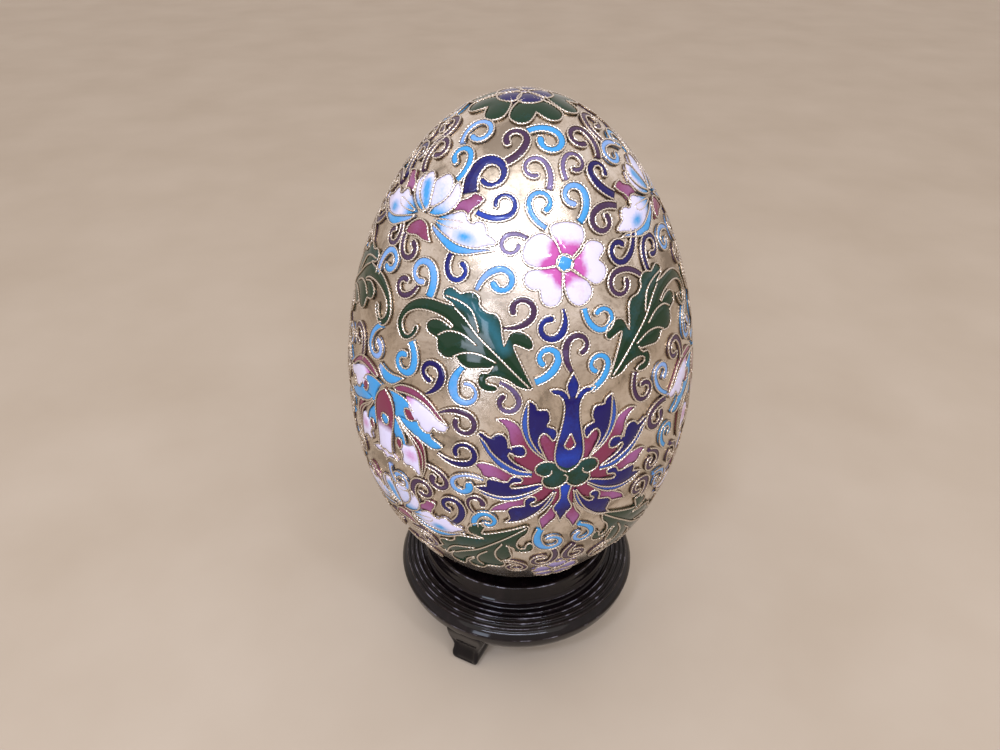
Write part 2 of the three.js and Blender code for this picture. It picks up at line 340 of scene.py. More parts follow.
class Figure:
    """A flat figure: enamel cells by finish, and wires. x across, y up, z above the ground."""

    def __init__(self):
        self.layers = {}

    def add(self, finish, part, tints):
        """Moves a small mesh into the finish's layer."""
        if finish not in self.layers:
            self.layers[finish] = new_layer()
        copy_mesh(part, self.layers[finish], [v.co for v in part.verts], tints)
        part.free()

    def close(self, finish, part, lines, tint, lower):
        """Domes a flat sheet between lines, and walls and closes it below."""
        s = sizes()
        gap = nearness(np.array([v.co[:2] for v in part.verts]), lines)
        swell = s.enamel_swell * (1 - np.exp(-(gap / SWELL_REACH) ** 2))
        for vert, rise in zip(part.verts, s.enamel_edge - lower + swell):
            vert.co.z = rise
        smooth(part)
        rim = [e for e in part.edges if e.is_boundary]
        walls = bmesh.ops.extrude_edge_only(part, edges=rim)["geom"]
        for vert in only(walls, bmesh.types.BMVert):
            vert.co.z = BELOW
        under = [e for e in only(walls, bmesh.types.BMEdge) if e.is_boundary]
        bmesh.ops.edgeloop_fill(part, edges=under)
        for face in part.faces:
            if any(v.co.z == BELOW for v in face.verts):
                face.smooth = False
        bmesh.ops.recalc_face_normals(part, faces=part.faces[:])
        spots = np.array([v.co[:2] for v in part.verts])
        shade = tint(*spots.T) if callable(tint) else np.full(len(spots), tint)
        self.add(finish, part, np.clip(shade, 0, 1))

    def cell(self, finish, line, tint=0.0, ribs=(), lower=0.0):
        """An enamel cell inside an outline, dished at its ribs too."""
        line = closed(np.asarray(line, float))
        rim = spaced(line, RIM_STEP)[:-1]
        part = bmesh.new()
        part.faces.new([part.verts.new((x, y, 0)) for x, y in rim])
        low, high = rim.min(0), rim.max(0)
        for axis in (0, 1):
            cut(part, axis, np.arange(low[axis] + FIRST_CUT, high[axis], sizes().mesh_step))
        many = [f for f in part.faces if len(f.verts) > 4]
        bmesh.ops.triangulate(part, faces=many, quad_method="BEAUTY", ngon_method="BEAUTY")
        self.close(finish, part, [line, *ribs], tint, lower)

    def wire(self, line, up=WIRE_UP):
        """A twisted wire laid along a line."""
        s = sizes()
        step = s.twist / BEAD_STEPS
        line = spaced(line, step)
        side = beside(line)
        last = len(line) - 1
        part = bmesh.new()
        section = bmesh.ops.create_circle(part, segments=6, radius=s.wire / 2)["verts"]
        bmesh.ops.scale(part, vec=(1, STRAND, 1), verts=section)
        bmesh.ops.spin(part, geom=everything(part), cent=(0, 0, 0), axis=(0, 0, 1), dvec=(0, 0, step),
                       angle=math.pi / BEAD_STEPS * last, steps=last, use_merge=False)
        bmesh.ops.holes_fill(part, edges=[e for e in part.edges if e.is_boundary], sides=0)
        bmesh.ops.recalc_face_normals(part, faces=part.faces[:])
        tints = []
        for vert in part.verts:
            i = min(last, max(0, round(vert.co.z / step)))
            x, y = vert.co.xy * (WIRE_END if i in (0, last) else 1.0)
            # the tint is the height across the wire; the wire's material paints a highlight where it is high
            tints.append(0.5 + y / s.wire)
            vert.co = (*(line[i] + side[i] * x), up + y)
        smooth(part)
        self.add("wire", part, tints)

    def petal(self, finish, line, up=WIRE_UP, **looks):
        """An enamel cell with a wire all round it."""
        self.cell(finish, line, **looks)
        self.wire(closed(line), up)

    def button(self, finish, round_line, up=WIRE_UP, **looks):
        """An enamel cell inside a closed line, with a wire round it."""
        self.cell(finish, round_line[:-1], **looks)
        self.wire(round_line, up)

    def scroll(self, finish, start, centre, radius, sweep, widths, tint=(0.0, 0.0), shrink=0.6):
        """A curled tendril: a stem that runs onto a closing spiral. A positive sweep is anticlockwise."""
        start, centre = np.array(start, float), np.array(centre, float)
        away = start - centre
        lead = math.acos(min(1, radius / math.hypot(*away)))
        first = math.atan2(away[1], away[0]) + math.copysign(lead + EASE, sweep)
        t = np.linspace(0, 1, CURL_POINTS)
        angle = first + (math.radians(sweep) - math.copysign(EASE, sweep)) * t
        size = radius * (1 - (1 - shrink) * t ** 1.3)
        coil = centre + np.stack([np.cos(angle), np.sin(angle)], -1) * size[:, None]
        onto = np.array([math.sin(first), -math.cos(first)]) * math.copysign(1, sweep)
        bend = coil[0] + onto * math.hypot(*(coil[0] - start)) * 0.5
        t = np.linspace(0, 1, STEM_POINTS + 1)[:-1, None]
        stem = (1 - t) ** 2 * start + 2 * t * (1 - t) * bend + t ** 2 * coil[0]
        line = spaced(np.concatenate([stem, coil]), SCROLL_STEP)
        last = len(line) - 1
        side = beside(line)
        share = np.linspace(0, 1, last + 1)
        root, bow, neck = widths
        tip = neck * BULB / 2
        half = np.interp(share, (0, 0.3, 0.8, 0.92, 1), (root / 2, bow / 2, neck / 2, tip, tip))
        left = last * SCROLL_STEP * (1 - share)
        round_end = np.sqrt(np.maximum(0, tip ** 2 - np.maximum(0, tip - left) ** 2))
        half = np.maximum(np.where(left < tip, np.minimum(half, round_end), half), TIP)
        part = bmesh.new()
        bmesh.ops.create_grid(part, x_segments=last, y_segments=SCROLL_ROWS, size=1)
        for vert in part.verts:
            i = round((vert.co.x + 1) / 2 * last)
            vert.co = (*(line[i] + side[i] * half[i] * vert.co.y), 0)
        bmesh.ops.remove_doubles(part, verts=part.verts[:], dist=MERGED)
        edge = np.concatenate([line + side * half[:, None], (line - side * half[:, None])[::-1]])

        def along(x, y):
            near = (x[:, None] - line[:, 0]) ** 2 + (y[:, None] - line[:, 1]) ** 2
            return np.interp(share[near.argmin(1)], (0, 1), tint)

        self.close(finish, part, [closed(edge)], along, 0.0)
        self.wire(edge)

    def mirror(self):
        """Adds the figure's other half, mirrored left to right."""
        for bm in self.layers.values():
            copy = bmesh.ops.duplicate(bm, geom=everything(bm))["geom"]
            bmesh.ops.scale(bm, vec=(-1, 1, 1), verts=only(copy, bmesh.types.BMVert))
            bmesh.ops.reverse_faces(bm, faces=only(copy, bmesh.types.BMFace))


def lay(figure, laid, angle, arc, turn=0.0, shift=(0, 0), flip=False, grow=(1, 1)):
    """Lays a figure on the egg round a centre, stretched, turned and shifted first, and adds it to laid."""
    for finish, bm in figure.layers.items():
        flat = np.array([v.co[:] for v in bm.verts])
        if flip:
            flat[:, 0] *= -1
        flat[:, :2] = turned(flat[:, :2] * grow, turn, shift)
        if finish not in laid:
            laid[finish] = new_layer()
        tint = bm.verts.layers.float["tint"]
        copy_mesh(bm, laid[finish], on_egg(flat, angle, arc) * MM, [v[tint] for v in bm.verts], flip)


def new_object(name, data):
    """Adds an object of a mesh, a light or a camera to the scene."""
    obj = bpy.data.objects.new(name, data)
    bpy.context.scene.collection.objects.link(obj)
    return obj


def mesh_object(name, bm, finish):
    """Makes an object of a finished bmesh, in metres, with its material."""
    mesh = bpy.data.meshes.new(name)
    bm.to_mesh(mesh)
    bm.free()
    mesh.materials.append(material(finish))
    return new_object(name, mesh)


def piece(name, bm, finish):
    """Makes a piece of the object, on the one body, with its finish."""
    obj = mesh_object(name, bm, finish)
    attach(obj, "root")
    return obj


def pieces(laid, name, repeats=REPEATS):
    """Repeats what was laid round the egg and makes one object of each finish."""
    for finish, bm in laid.items():
        if repeats > 1:
            bmesh.ops.spin(bm, geom=everything(bm), cent=(0, 0, 0), axis=(0, 0, 1),
                           angle=math.tau / REPEATS * (repeats - 1), steps=repeats - 1,
                           use_duplicate=True)
        piece(name + "_" + finish, bm, finish)


# ------------------------------------------------------------------ materials

def add(tree, kind, inputs=None, stops=(), **settings):
    """Adds a shader node with its settings, its colour stops, and its inputs as values or as links."""
    node = tree.nodes.new("ShaderNode" + kind)
    for key, value in settings.items():
        setattr(node, key, value)
    for key, value in (inputs or {}).items():
        if isinstance(value, tuple) and isinstance(value[0], bpy.types.Node):
            tree.links.new(value[0].outputs[value[1]], node.inputs[key])
        else:
            node.inputs[key].default_value = value
    for _ in stops[2:]:
        node.color_ramp.elements.new(0.5)
    for i, (place, tone) in enumerate(stops):
        node.color_ramp.elements[i].position = place
        node.color_ramp.elements[i].color = linear(tone) if isinstance(tone, str) else tone
    return node


def new_material(name):
    """A material with no nodes yet, and its tree."""
    mat = bpy.data.materials.new(name)
    mat.use_nodes = True
    mat.node_tree.nodes.clear()
    return mat, mat.node_tree


def per_mm(wave):
    """Noise scale on Object coordinates in metres, for a wave in millimetres."""
    return 1.0 / (wave * MM)


# Gilt copper, gilded over etched copper and brushed: a pale warm metal, softly clouded where the
# gilding has aged. Its real pits and brush marks are under 0.1 mm, too fine to show, so the pits
# are drawn 0.9 mm apart and the grain 0.4 mm.
def gilt_ground():
    mat, tree = new_material("gilt_ground")
    place = (add(tree, "TexCoord"), "Object")
    cloud = add(tree, "TexNoise", {"Vector": place, "Scale": per_mm(12.0), "Detail": 5.0,
                                   "Roughness": 0.65, "Distortion": 0.6})
    pits = add(tree, "TexNoise", {"Vector": place, "Scale": per_mm(0.9), "Detail": 3.0,
                                  "Roughness": 0.6})
    grain = add(tree, "TexNoise", {"Vector": place, "Scale": per_mm(0.4), "Detail": 3.0,
                                   "Roughness": 0.65})
    pitted = add(tree, "MapRange", {"Value": (pits, "Fac"), "From Min": 0.32, "From Max": 0.52,
                                    "To Min": -0.07, "To Max": 0.0})
    aged = add(tree, "Math", {0: (cloud, "Fac"), 1: (pitted, "Result")}, operation="ADD")
    tone = add(tree, "ValToRGB", {"Fac": (aged, "Value")}, stops=(
        (0.36, "#9F9486"), (0.45, "#C4B9AA"), (0.53, finishes().gilt), (0.66, "#E8E1D8")))
    rough = add(tree, "MapRange", {"Value": (aged, "Value"), "From Min": 0.25, "From Max": 0.65,
                                   "To Min": 0.32, "To Max": 0.2})
    bump = add(tree, "Bump", {"Height": (grain, "Fac"), "Strength": 0.35, "Distance": 0.08 * MM})
    shader = add(tree, "BsdfPrincipled", {"Base Color": (tone, "Color"), "Metallic": 1.0,
                                          "Roughness": (rough, "Result"),
                                          "Normal": (bump, "Normal")})
    add(tree, "OutputMaterial", {"Surface": (shader, "BSDF")})
    return mat


# Two fine gilt copper wires twisted together: a painted highlight on the crowns, darker lower down and in
# the grooves.
# The real twist is about 0.4 mm a bead, and is drawn longer so that it shows.
def gilt_wire():
    mat, tree = new_material("gilt_wire")
    crown = add(tree, "Attribute", attribute_name="tint")
    # the palest stop, at the top of the wire, is the painted highlight on its crowns
    tone = add(tree, "ValToRGB", {"Fac": (crown, "Fac")}, stops=(
        (0.3, "#A5947E"), (0.66, "#8A7862"), (0.9, finishes().wire)))
    shader = add(tree, "BsdfPrincipled", {"Base Color": (tone, "Color"), "Metallic": 1.0,
                                          "Roughness": 0.24})
    add(tree, "OutputMaterial", {"Surface": (shader, "BSDF")})
    return mat


# Glass enamel, fired and polished: glossy, deeper where it pools, paler and finely specked where it
# is thin or where the tint shades it; on the leaves the tint is also a painted sheen. The real specks
# are grains of under 0.1 mm, too fine to show, so they are drawn 0.45 mm apart.
def enamel(name, deep, thin):
    mat, tree = new_material(name)
    place = (add(tree, "TexCoord"), "Object")
    pool = add(tree, "TexNoise", {"Vector": place, "Scale": per_mm(3.0), "Detail": 2.0})
    specks = add(tree, "TexNoise", {"Vector": place, "Scale": per_mm(0.45), "Detail": 2.0})
    shade = add(tree, "Attribute", attribute_name="tint")
    mottle = add(tree, "Math", {0: (specks, "Fac"), 1: 0.5}, operation="SUBTRACT")
    mottle = add(tree, "Math", {0: (mottle, "Value"), 1: 0.36, 2: (shade, "Fac")},
                 operation="MULTIPLY_ADD")
    cloud = add(tree, "Math", {0: (pool, "Fac"), 1: 0.5}, operation="SUBTRACT")
    cloud = add(tree, "Math", {0: (cloud, "Value"), 1: 0.6, 2: (mottle, "Value")},
                operation="MULTIPLY_ADD")
    tone = add(tree, "ValToRGB", {"Fac": (cloud, "Value")}, stops=((0.05, deep), (0.9, thin)))
    bump = add(tree, "Bump", {"Height": (pool, "Fac"), "Strength": 0.12, "Distance": 0.1 * MM})
    shader = add(tree, "BsdfPrincipled", {"Base Color": (tone, "Color"), "Roughness": 0.08,
                                          "IOR": 1.4, "Normal": (bump, "Normal")})
    add(tree, "OutputMaterial", {"Surface": (shader, "BSDF")})
    return mat


# Lacquer over turned hardwood: nearly black, brown where it is thin, wet gloss, and a painted highlight in
# broken patches along the arrises, where the tint says how near one is.
def lacquered_wood():
    mat, tree = new_material("lacquered_wood")
    place = (add(tree, "TexCoord"), "Object")
    stretch = add(tree, "Mapping", {"Vector": place, "Scale": (1, 1, 0.25)})
    grain = add(tree, "TexNoise", {"Vector": (stretch, "Vector"), "Scale": per_mm(2.5),
                                   "Detail": 5.0, "Roughness": 0.6})
    patches = add(tree, "TexNoise", {"Vector": place, "Scale": per_mm(6.0), "Detail": 3.0})
    broken = add(tree, "MapRange", {"Value": (patches, "Fac"), "From Min": 0.36, "From Max": 0.56,
                                    "To Max": 0.55})
    arris = add(tree, "Attribute", attribute_name="tint")
    shade = add(tree, "Math", {0: (arris, "Fac"), 1: (broken, "Result"), 2: (grain, "Fac")},
                operation="MULTIPLY_ADD")
    # the palest stop, #66656E, is the painted highlight along the arrises
    tone = add(tree, "ValToRGB", {"Fac": (shade, "Value")}, stops=(
        (0.3, "#050304"), (0.6, finishes().lacquer), (0.8, "#1C1416"), (1.0, "#66656E")))
    bump = add(tree, "Bump", {"Height": (grain, "Fac"), "Strength": 0.06, "Distance": 0.1 * MM})
    shader = add(tree, "BsdfPrincipled", {"Base Color": (tone, "Color"), "Roughness": 0.08,
                                          "IOR": 1.33, "Normal": (bump, "Normal")})
    add(tree, "OutputMaterial", {"Surface": (shader, "BSDF")})
    return mat


# Painted studio board: pale, nearly matt, faintly uneven.
def studio_floor():
    mat, tree = new_material("studio_floor")
    place = (add(tree, "TexCoord"), "Object")
    mottle = add(tree, "TexNoise", {"Vector": place, "Scale": per_mm(60.0), "Detail": 4.0})
    tone = add(tree, "ValToRGB", {"Fac": (mottle, "Fac")}, stops=(
        (0.3, "#B1A594"), (0.7, finishes().floor)))
    shader = add(tree, "BsdfPrincipled", {"Base Color": (tone, "Color"), "Roughness": 0.55})
    add(tree, "OutputMaterial", {"Surface": (shader, "BSDF")})
    return mat


# The enamels: the material's name, and its colours where it is deep and where it is thin or shaded.
ENAMELS = {
    "navy": ("navy_enamel", "navy", "navy_light"),
    "royal": ("royal_blue_enamel", "royal", "royal_light"),
    "sky": ("sky_blue_enamel", "sky", "sky_light"),
    "green": ("green_enamel", "green", "green_light"),
    "magenta": ("magenta_enamel", "magenta", "magenta_light"),
    "violet": ("violet_enamel", "violet", "violet_light"),
    "white": ("white_enamel_blushed", "white", "blush"),
    "white_sky": ("white_enamel_shaded", "white", "sky"),
    "white_wine": ("white_enamel_wine", "white", "magenta"),
}
PLAIN = {"gilt": gilt_ground, "wire": gilt_wire, "lacquer": lacquered_wood, "floor": studio_floor}


@functools.lru_cache(maxsize=None)
def material(finish):
    """The material of a finish, made once."""
    if finish in PLAIN:
        return PLAIN[finish]()
    name, deep, thin = ENAMELS[finish]
    return enamel(name, getattr(finishes(), deep), getattr(finishes(), thin))


# ------------------------------------------------------------------ the figures

# Each petal of the great lotus on the left of its stem: its outer edge from the root to the tip,
# the wire that parts its stripe, and its lobed inner edge from the tip back to the root.
LOTUS_PETALS = (
    ([(-4.4, 2.0), (-7.5, 4.8), (-9.3, 8.0), (-9.9, 11.0), (-9.4, 14.0), (-8.5, 16.2)],
     [(-4.7, 2.9), (-6.5, 4.6), (-8.1, 7.6), (-8.6, 10.6), (-8.6, 13.1), (-8.5, 16.2)],
     [[(-7.1, 15.1), (-6.8, 14.0)], [(-4.8, 13.8), (-4.3, 11.8), (-4.9, 10.4)],
      [(-3.1, 9.5), (-2.8, 8.1), (-3.5, 6.9), (-4.5, 8.1), (-5.5, 8.7), (-6.3, 7.7), (-6.3, 6.2),
       (-5.4, 4.2), (-4.4, 2.0)]]),
    ([(-7.2, -1.8), (-10.9, -1.6), (-14.1, 0.2), (-16.5, 3.1), (-17.8, 5.5), (-18.7, 7.7)],
     [(-7.3, -0.8), (-10.0, -0.4), (-13.1, 1.3), (-15.6, 3.6), (-17.0, 5.9), (-18.7, 7.7)],
     [[(-17.9, 8.3), (-16.8, 7.6), (-15.9, 7.1)],
      [(-14.8, 8.2), (-13.5, 8.2), (-12.6, 7.1), (-12.3, 5.1)],
      [(-10.9, 5.7), (-9.5, 5.7), (-8.8, 4.5), (-9.2, 3.3), (-10.7, 3.2), (-11.9, 3.9), (-12.3, 3.1),
       (-11.1, 1.6), (-9.1, 0.4), (-7.2, -0.8)]]),
    ([(-4.8, -5.0), (-7.6, -7.2), (-10.6, -8.8), (-13.6, -9.0), (-16.7, -8.2), (-19.2, -6.3)],
     [(-4.8, -4.5), (-7.7, -6.4), (-10.7, -7.6), (-13.7, -8.0), (-16.8, -7.3), (-19.2, -6.3)],
     [[(-17.3, -5.6), (-16.4, -5.4)],
      [(-16.5, -3.9), (-15.4, -2.9), (-14.2, -3.1), (-13.2, -3.7), (-12.1, -3.5), (-11.5, -2.4),
       (-10.5, -2.0), (-9.2, -2.5), (-9.4, -3.5), (-10.8, -3.8), (-11.5, -4.5), (-11.0, -5.2),
       (-8.8, -4.8), (-6.3, -4.0), (-4.8, -3.9)]]),
    ([(-1.9, -6.1), (-2.5, -8.7), (-3.9, -11.3), (-6.3, -13.7), (-8.7, -15.5), (-11.9, -16.1)],
     [(-2.3, -6.3), (-3.5, -9.2), (-5.0, -11.8), (-7.2, -14.1), (-9.2, -15.4), (-11.9, -16.1)],
     [[(-10.8, -14.6), (-11.1, -13.3), (-11.5, -12.0), (-10.6, -10.8), (-9.0, -10.4), (-8.1, -10.2)],
      [(-8.2, -8.5), (-7.2, -7.4), (-6.0, -7.7), (-6.0, -8.7), (-6.9, -9.4), (-6.4, -10.2),
       (-5.1, -9.6), (-3.6, -7.8), (-2.5, -6.1)]]),
)

# The wine red petals that show between them: the edge that shows, past its tip, and the rest below.
LOTUS_UNDER_PETALS = (
    ([(-9.6, 9.0), (-10.7, 10.8), (-12.9, 11.9), (-15.0, 11.5)],
     [(-13.5, 10.5), (-12.5, 8.8), (-12.2, 6.5), (-11.6, 4.6)],
     [(-11.0, 2.0), (-8.0, -0.9), (-5.2, -0.6), (-4.2, 1.6), (-6.6, 5.0)]),
    ([(-12.0, -1.0), (-15.0, 0.3), (-17.6, 0.7), (-19.3, -0.1)],
     [(-18.0, -1.5), (-17.1, -3.0), (-14.0, -3.6), (-12.4, -3.7)],
     [(-10.5, -4.6), (-6.5, -4.2), (-4.4, -3.2), (-5.4, -0.9), (-9.0, -0.6)]),
    ([(-10.5, -8.6), (-12.3, -9.6), (-14.4, -11.2), (-15.3, -13.2)],
     [(-13.8, -12.7), (-11.3, -12.2)],
     [(-7.6, -10.0), (-4.0, -8.4), (-2.4, -5.8), (-4.2, -4.4), (-7.5, -5.8)]),
    ([(-2.3, -10.0), (-3.3, -12.4), (-4.5, -14.3), (-4.1, -16.3), (-3.4, -18.2)],
     [(-2.1, -15.7), (-1.0, -14.1), (-1.2, -12.1)],
     [(-0.8, -8.6), (-0.5, -5.6), (-2.2, -5.6)]),
)


def profile(points):
    """An outline from (height, half width) points, symmetrical about the vertical."""
    return mirrored(curve([(half, y) for y, half in points]))


def great_lotus():
    """The great lotus: striped blue petals over wine red ones, round a blue bud on a green cloud."""
    f = Figure()
    for outer, stripe, inner in LOTUS_PETALS:
        tip = outer[-1]
        back = joined([tip] + inner[0], *inner[1:])
        outer, stripe = curve(outer), curve(stripe)
        f.cell("royal", np.concatenate([outer, stripe[::-1]]), tint=0.4)
        f.cell("navy", np.concatenate([stripe, back[1:]]),
               tint=lambda x, y: 0.55 - 0.04 * np.hypot(x, y))
        for line in (outer, stripe, back):
            f.wire(line)
    for upper, lower, hidden in LOTUS_UNDER_PETALS:
        line = joined(upper, lower)
        f.cell("magenta", np.concatenate([line, hidden]), lower=0.18,
               tint=lambda x, y: (np.hypot(x, y) - 11.0) / 5.0)
        f.wire(line, up=0.26)
    beside_bud = outline([(-2.3, 1.5), (-2.6, 7.0)], [(-3.6, 6.8), (-5.3, 8.6), (-6.2, 7.0)],
                         [(-4.4, 2.0)])
    f.cell("magenta", beside_bud, lower=0.18, tint=0.2)
    cloud = joined([(0.0, 1.4), (-2.2, 1.4), (-3.9, 1.9), (-5.6, 1.7), (-6.7, 0.5), (-6.4, -1.0),
                    (-4.9, -1.9)],
                   [(-5.1, -3.2), (-4.2, -4.6), (-2.5, -5.1), (-0.9, -4.5), (0.0, -3.5)])
    f.wire(cloud[CURVE_STEPS:])
    f.wire(curve([(-4.9, -1.9), (-4.1, -1.8), (-3.4, -1.2), (-3.3, -0.3)]))
    f.mirror()
    f.cell("green", mirrored(cloud), lower=0.04, tint=0.15)
    f.wire(curve([(0.0, -3.5), (0.2, -2.6), (-0.1, -1.9), (-0.8, -1.7)]))
    tongue = profile([(-4.6, 1.3), (-8.0, 0.9), (-10.8, 2.0), (-12.6, 1.2), (-14.1, 0.45), (-15.6, 0.0)])
    f.cell("navy", tongue, tint=lambda x, y: 1.0 + (y + 6.0) / 6.0)
    f.wire(tongue)
    bud = profile([(-1.0, 0.0), (0.0, 1.6), (1.5, 2.6), (3.5, 3.0), (6.0, 2.8), (9.0, 2.2), (12.0, 1.7),
                   (14.5, 1.6), (16.3, 2.1)])
    tear = curve([(0, 8.4), (-0.7, 6.8), (-1.1, 5.5), (0, 4.6), (1.1, 5.5), (0.7, 6.8), (0, 8.4)])
    f.cell("navy", bud, ribs=[tear],
           tint=lambda x, y: np.where(y < 6.5, 0.6 - np.abs(y - 2.5) / 7.0, 0.35 - np.abs(y - 9.0) / 20.0))
    for side in (bud[:len(bud) // 2], bud[len(bud) // 2:]):
        f.wire(side, up=0.4)
    f.button("magenta", tear, lower=-0.04)
    leaf = profile([(16.2, 0.6), (17.4, 1.05), (18.8, 1.25), (20.2, 0.7), (21.5, 0.0)])
    f.cell("navy", leaf, tint=0.3)
    f.wire(leaf)
    for way in (1, -1):
        side = joined([(-0.6, 16.0), (-1.0, 17.0), (-2.0, 18.0), (-3.3, 18.3), (-4.6, 18.2)],
                      [(-3.8, 17.2), (-2.7, 16.8), (-1.9, 15.8)]) * (way, 1)
        f.cell("navy", side, tint=0.3)
        f.wire(side)
    return f


PETALS = 5  # of each flower seen from above
BLOSSOM_MIDDLE = -0.4  # height of the blossom's blue centre

# The blossom's petals, each closed by a straight line at its root.
BLOSSOM_PETALS = (
    [[(-0.5, 1.2), (-1.2, 3.6), (-2.0, 5.5), (-1.5, 7.0), (1.5, 7.3), (4.0, 6.3), (4.6, 4.4),
      (3.6, 2.4), (1.4, 0.3)]],
    [[(-0.5, 1.2), (-1.2, 3.4), (-2.3, 4.8), (-4.0, 5.7), (-6.3, 4.8), (-7.7, 2.8), (-7.6, 0.8),
      (-6.3, -0.4), (-3.8, -0.9), (-1.4, -0.6)]],
    [[(-1.4, -0.9), (-4.0, -1.0), (-6.5, -0.9), (-7.9, -1.9), (-7.9, -3.6), (-6.7, -4.8),
      (-5.3, -4.8)],
     [(-5.2, -6.7), (-4.4, -8.0), (-2.8, -8.3), (-1.3, -7.2), (-0.9, -4.5), (-0.6, -1.9)]],
    [[(-0.4, -1.9), (-0.5, -5.0), (0.2, -7.6), (2.0, -8.8), (4.0, -8.0), (5.0, -6.2), (4.3, -4.2),
      (2.6, -3.0), (0.8, -1.6)]],
    [[(1.5, -0.1), (3.5, 1.5), (4.6, 3.0), (6.2, 3.4), (7.8, 2.8), (8.5, 1.6), (7.9, 0.5), (7.0, -0.4)],
     [(8.0, -1.2), (8.5, -2.7), (7.6, -4.4), (6.0, -5.1), (4.5, -4.4), (1.1, -1.4)]],
)


def plum_blossom():
    """The five-petalled blossom, white with a pink heart and a blue centre."""
    f = Figure()

    def patch(x, y):
        """Pink out to a notched edge in each petal."""
        y = y - BLOSSOM_MIDDLE
        bearing = np.arctan2(x, y) - math.radians(14.0)
        edge = 3.5 + 1.3 * np.abs(np.sin(PETALS / 2 * bearing)) ** 1.5
        return 0.5 + (edge - np.hypot(x, y)) / 1.3

    for runs in BLOSSOM_PETALS:
        f.petal("white", joined(*runs), tint=patch)
    f.button("sky", ring(1.65, 24, BLOSSOM_MIDDLE), up=0.46, lower=-0.12)
    return f


# The leaf's third lobe is a long tail curled under, or is short on the lower leaves.
LEAF_TAIL = [(-4.0, 5.9), (-7.0, 6.2), (-10.0, 5.8), (-13.0, 4.0), (-14.9, 1.2), (-15.0, -1.2),
             (-13.8, -3.0), (-12.2, -3.2), (-10.6, -2.2), (-9.6, -0.6), (-9.8, 0.3), (-10.5, 0.1),
             (-11.0, -1.2), (-12.2, -2.1), (-13.3, -1.4), (-13.7, 0.4), (-12.5, 2.3), (-10.0, 3.5),
             (-7.0, 3.7), (-4.0, 3.1), (-2.0, 2.0), (-2.0, 1.4)]
LEAF_LOBE = [(-4.4, 6.4), (-6.8, 6.2), (-8.2, 5.0), (-7.9, 3.6), (-6.2, 3.2), (-4.0, 3.0), (-2.0, 2.0),
             (-2.0, 1.4)]
LEAF_OUTLINE = (
    [(14.8, -8.2), (12.5, -4.2), (10.6, -0.8), (10.4, 0.1)],
    [(12.0, -0.3), (13.4, -0.7), (14.1, 0.2), (13.2, 1.9), (11.2, 2.8), (9.6, 2.3), (9.0, 1.0),
     (8.6, -0.5)],
    [(8.0, 1.5), (7.4, 4.0), (6.3, 5.4), (4.5, 5.6), (3.0, 6.6)],
    [(2.7, 8.0), (1.5, 8.9), (0.0, 8.7), (-1.0, 8.3), (-3.0, 9.2), (-4.3, 8.6), (-4.6, 7.6),
     (-4.2, 6.8), (-3.0, 6.3), (-2.0, 5.8)],
    LEAF_TAIL,
    [(-4.5, 2.5), (-6.5, 2.3), (-7.6, 1.2), (-7.2, -0.3), (-5.6, -1.0), (-5.0, -1.2)],
    [(-4.8, -2.5), (-4.5, -3.8), (-3.0, -4.7), (-1.3, -4.5), (-0.5, -4.2)],
    [(0.3, -5.3), (2.0, -6.0), (4.5, -5.6), (6.3, -5.3), (7.0, -4.6)],
    [(6.0, -6.2), (4.6, -6.5), (4.1, -8.0), (4.6, -9.5), (6.0, -10.1), (7.6, -9.9), (8.2, -9.2),
     (7.4, -8.6), (6.0, -8.4), (5.9, -7.4), (7.5, -6.8), (10.0, -7.3), (12.0, -8.5), (14.3, -8.8)],
)
LEAF_VEINS = (
    [(-2.0, 5.5), (0.5, 3.6), (3.5, 0.6), (8.0, -3.0), (14.2, -8.4)],
    [(-4.0, 7.4), (-1.0, 6.8), (1.5, 5.5), (2.8, 3.3), (3.5, 1.3)],
    [(-4.9, -0.6), (-3.0, 0.6), (-1.0, 0.8), (1.0, 0.3), (3.4, -1.2)],
    [(-1.3, -4.2), (1.0, -3.0), (4.0, -2.8), (7.5, -4.0)],
)


def leaf(tail=True, sheen=1.0):
    """An acanthus leaf with a long curled tail lobe, green shading to teal along its upper lobes: the
    enamel's own shading and a painted sheen, whose strength sheen sets for each leaf.
    """
    f = Figure()
    line = outline(*(LEAF_LOBE if run is LEAF_TAIL and not tail else run for run in LEAF_OUTLINE))
    veins = [curve(vein) for vein in LEAF_VEINS]
    teal = curve([(-3.5, 7.6), (1.0, 6.6), (5.0, 3.5), (8.5, -1.0)])

    # teal near the upper lobes' vein: enamel shading and a painted sheen, scaled by sheen
    def tint(x, y):
        return sheen * (0.95 - nearness(np.stack([x, y], -1), [teal]) / 2.6)

    f.petal("green", line, ribs=veins, tint=tint)
    for vein in veins:
        f.wire(vein, up=0.42)
    return f


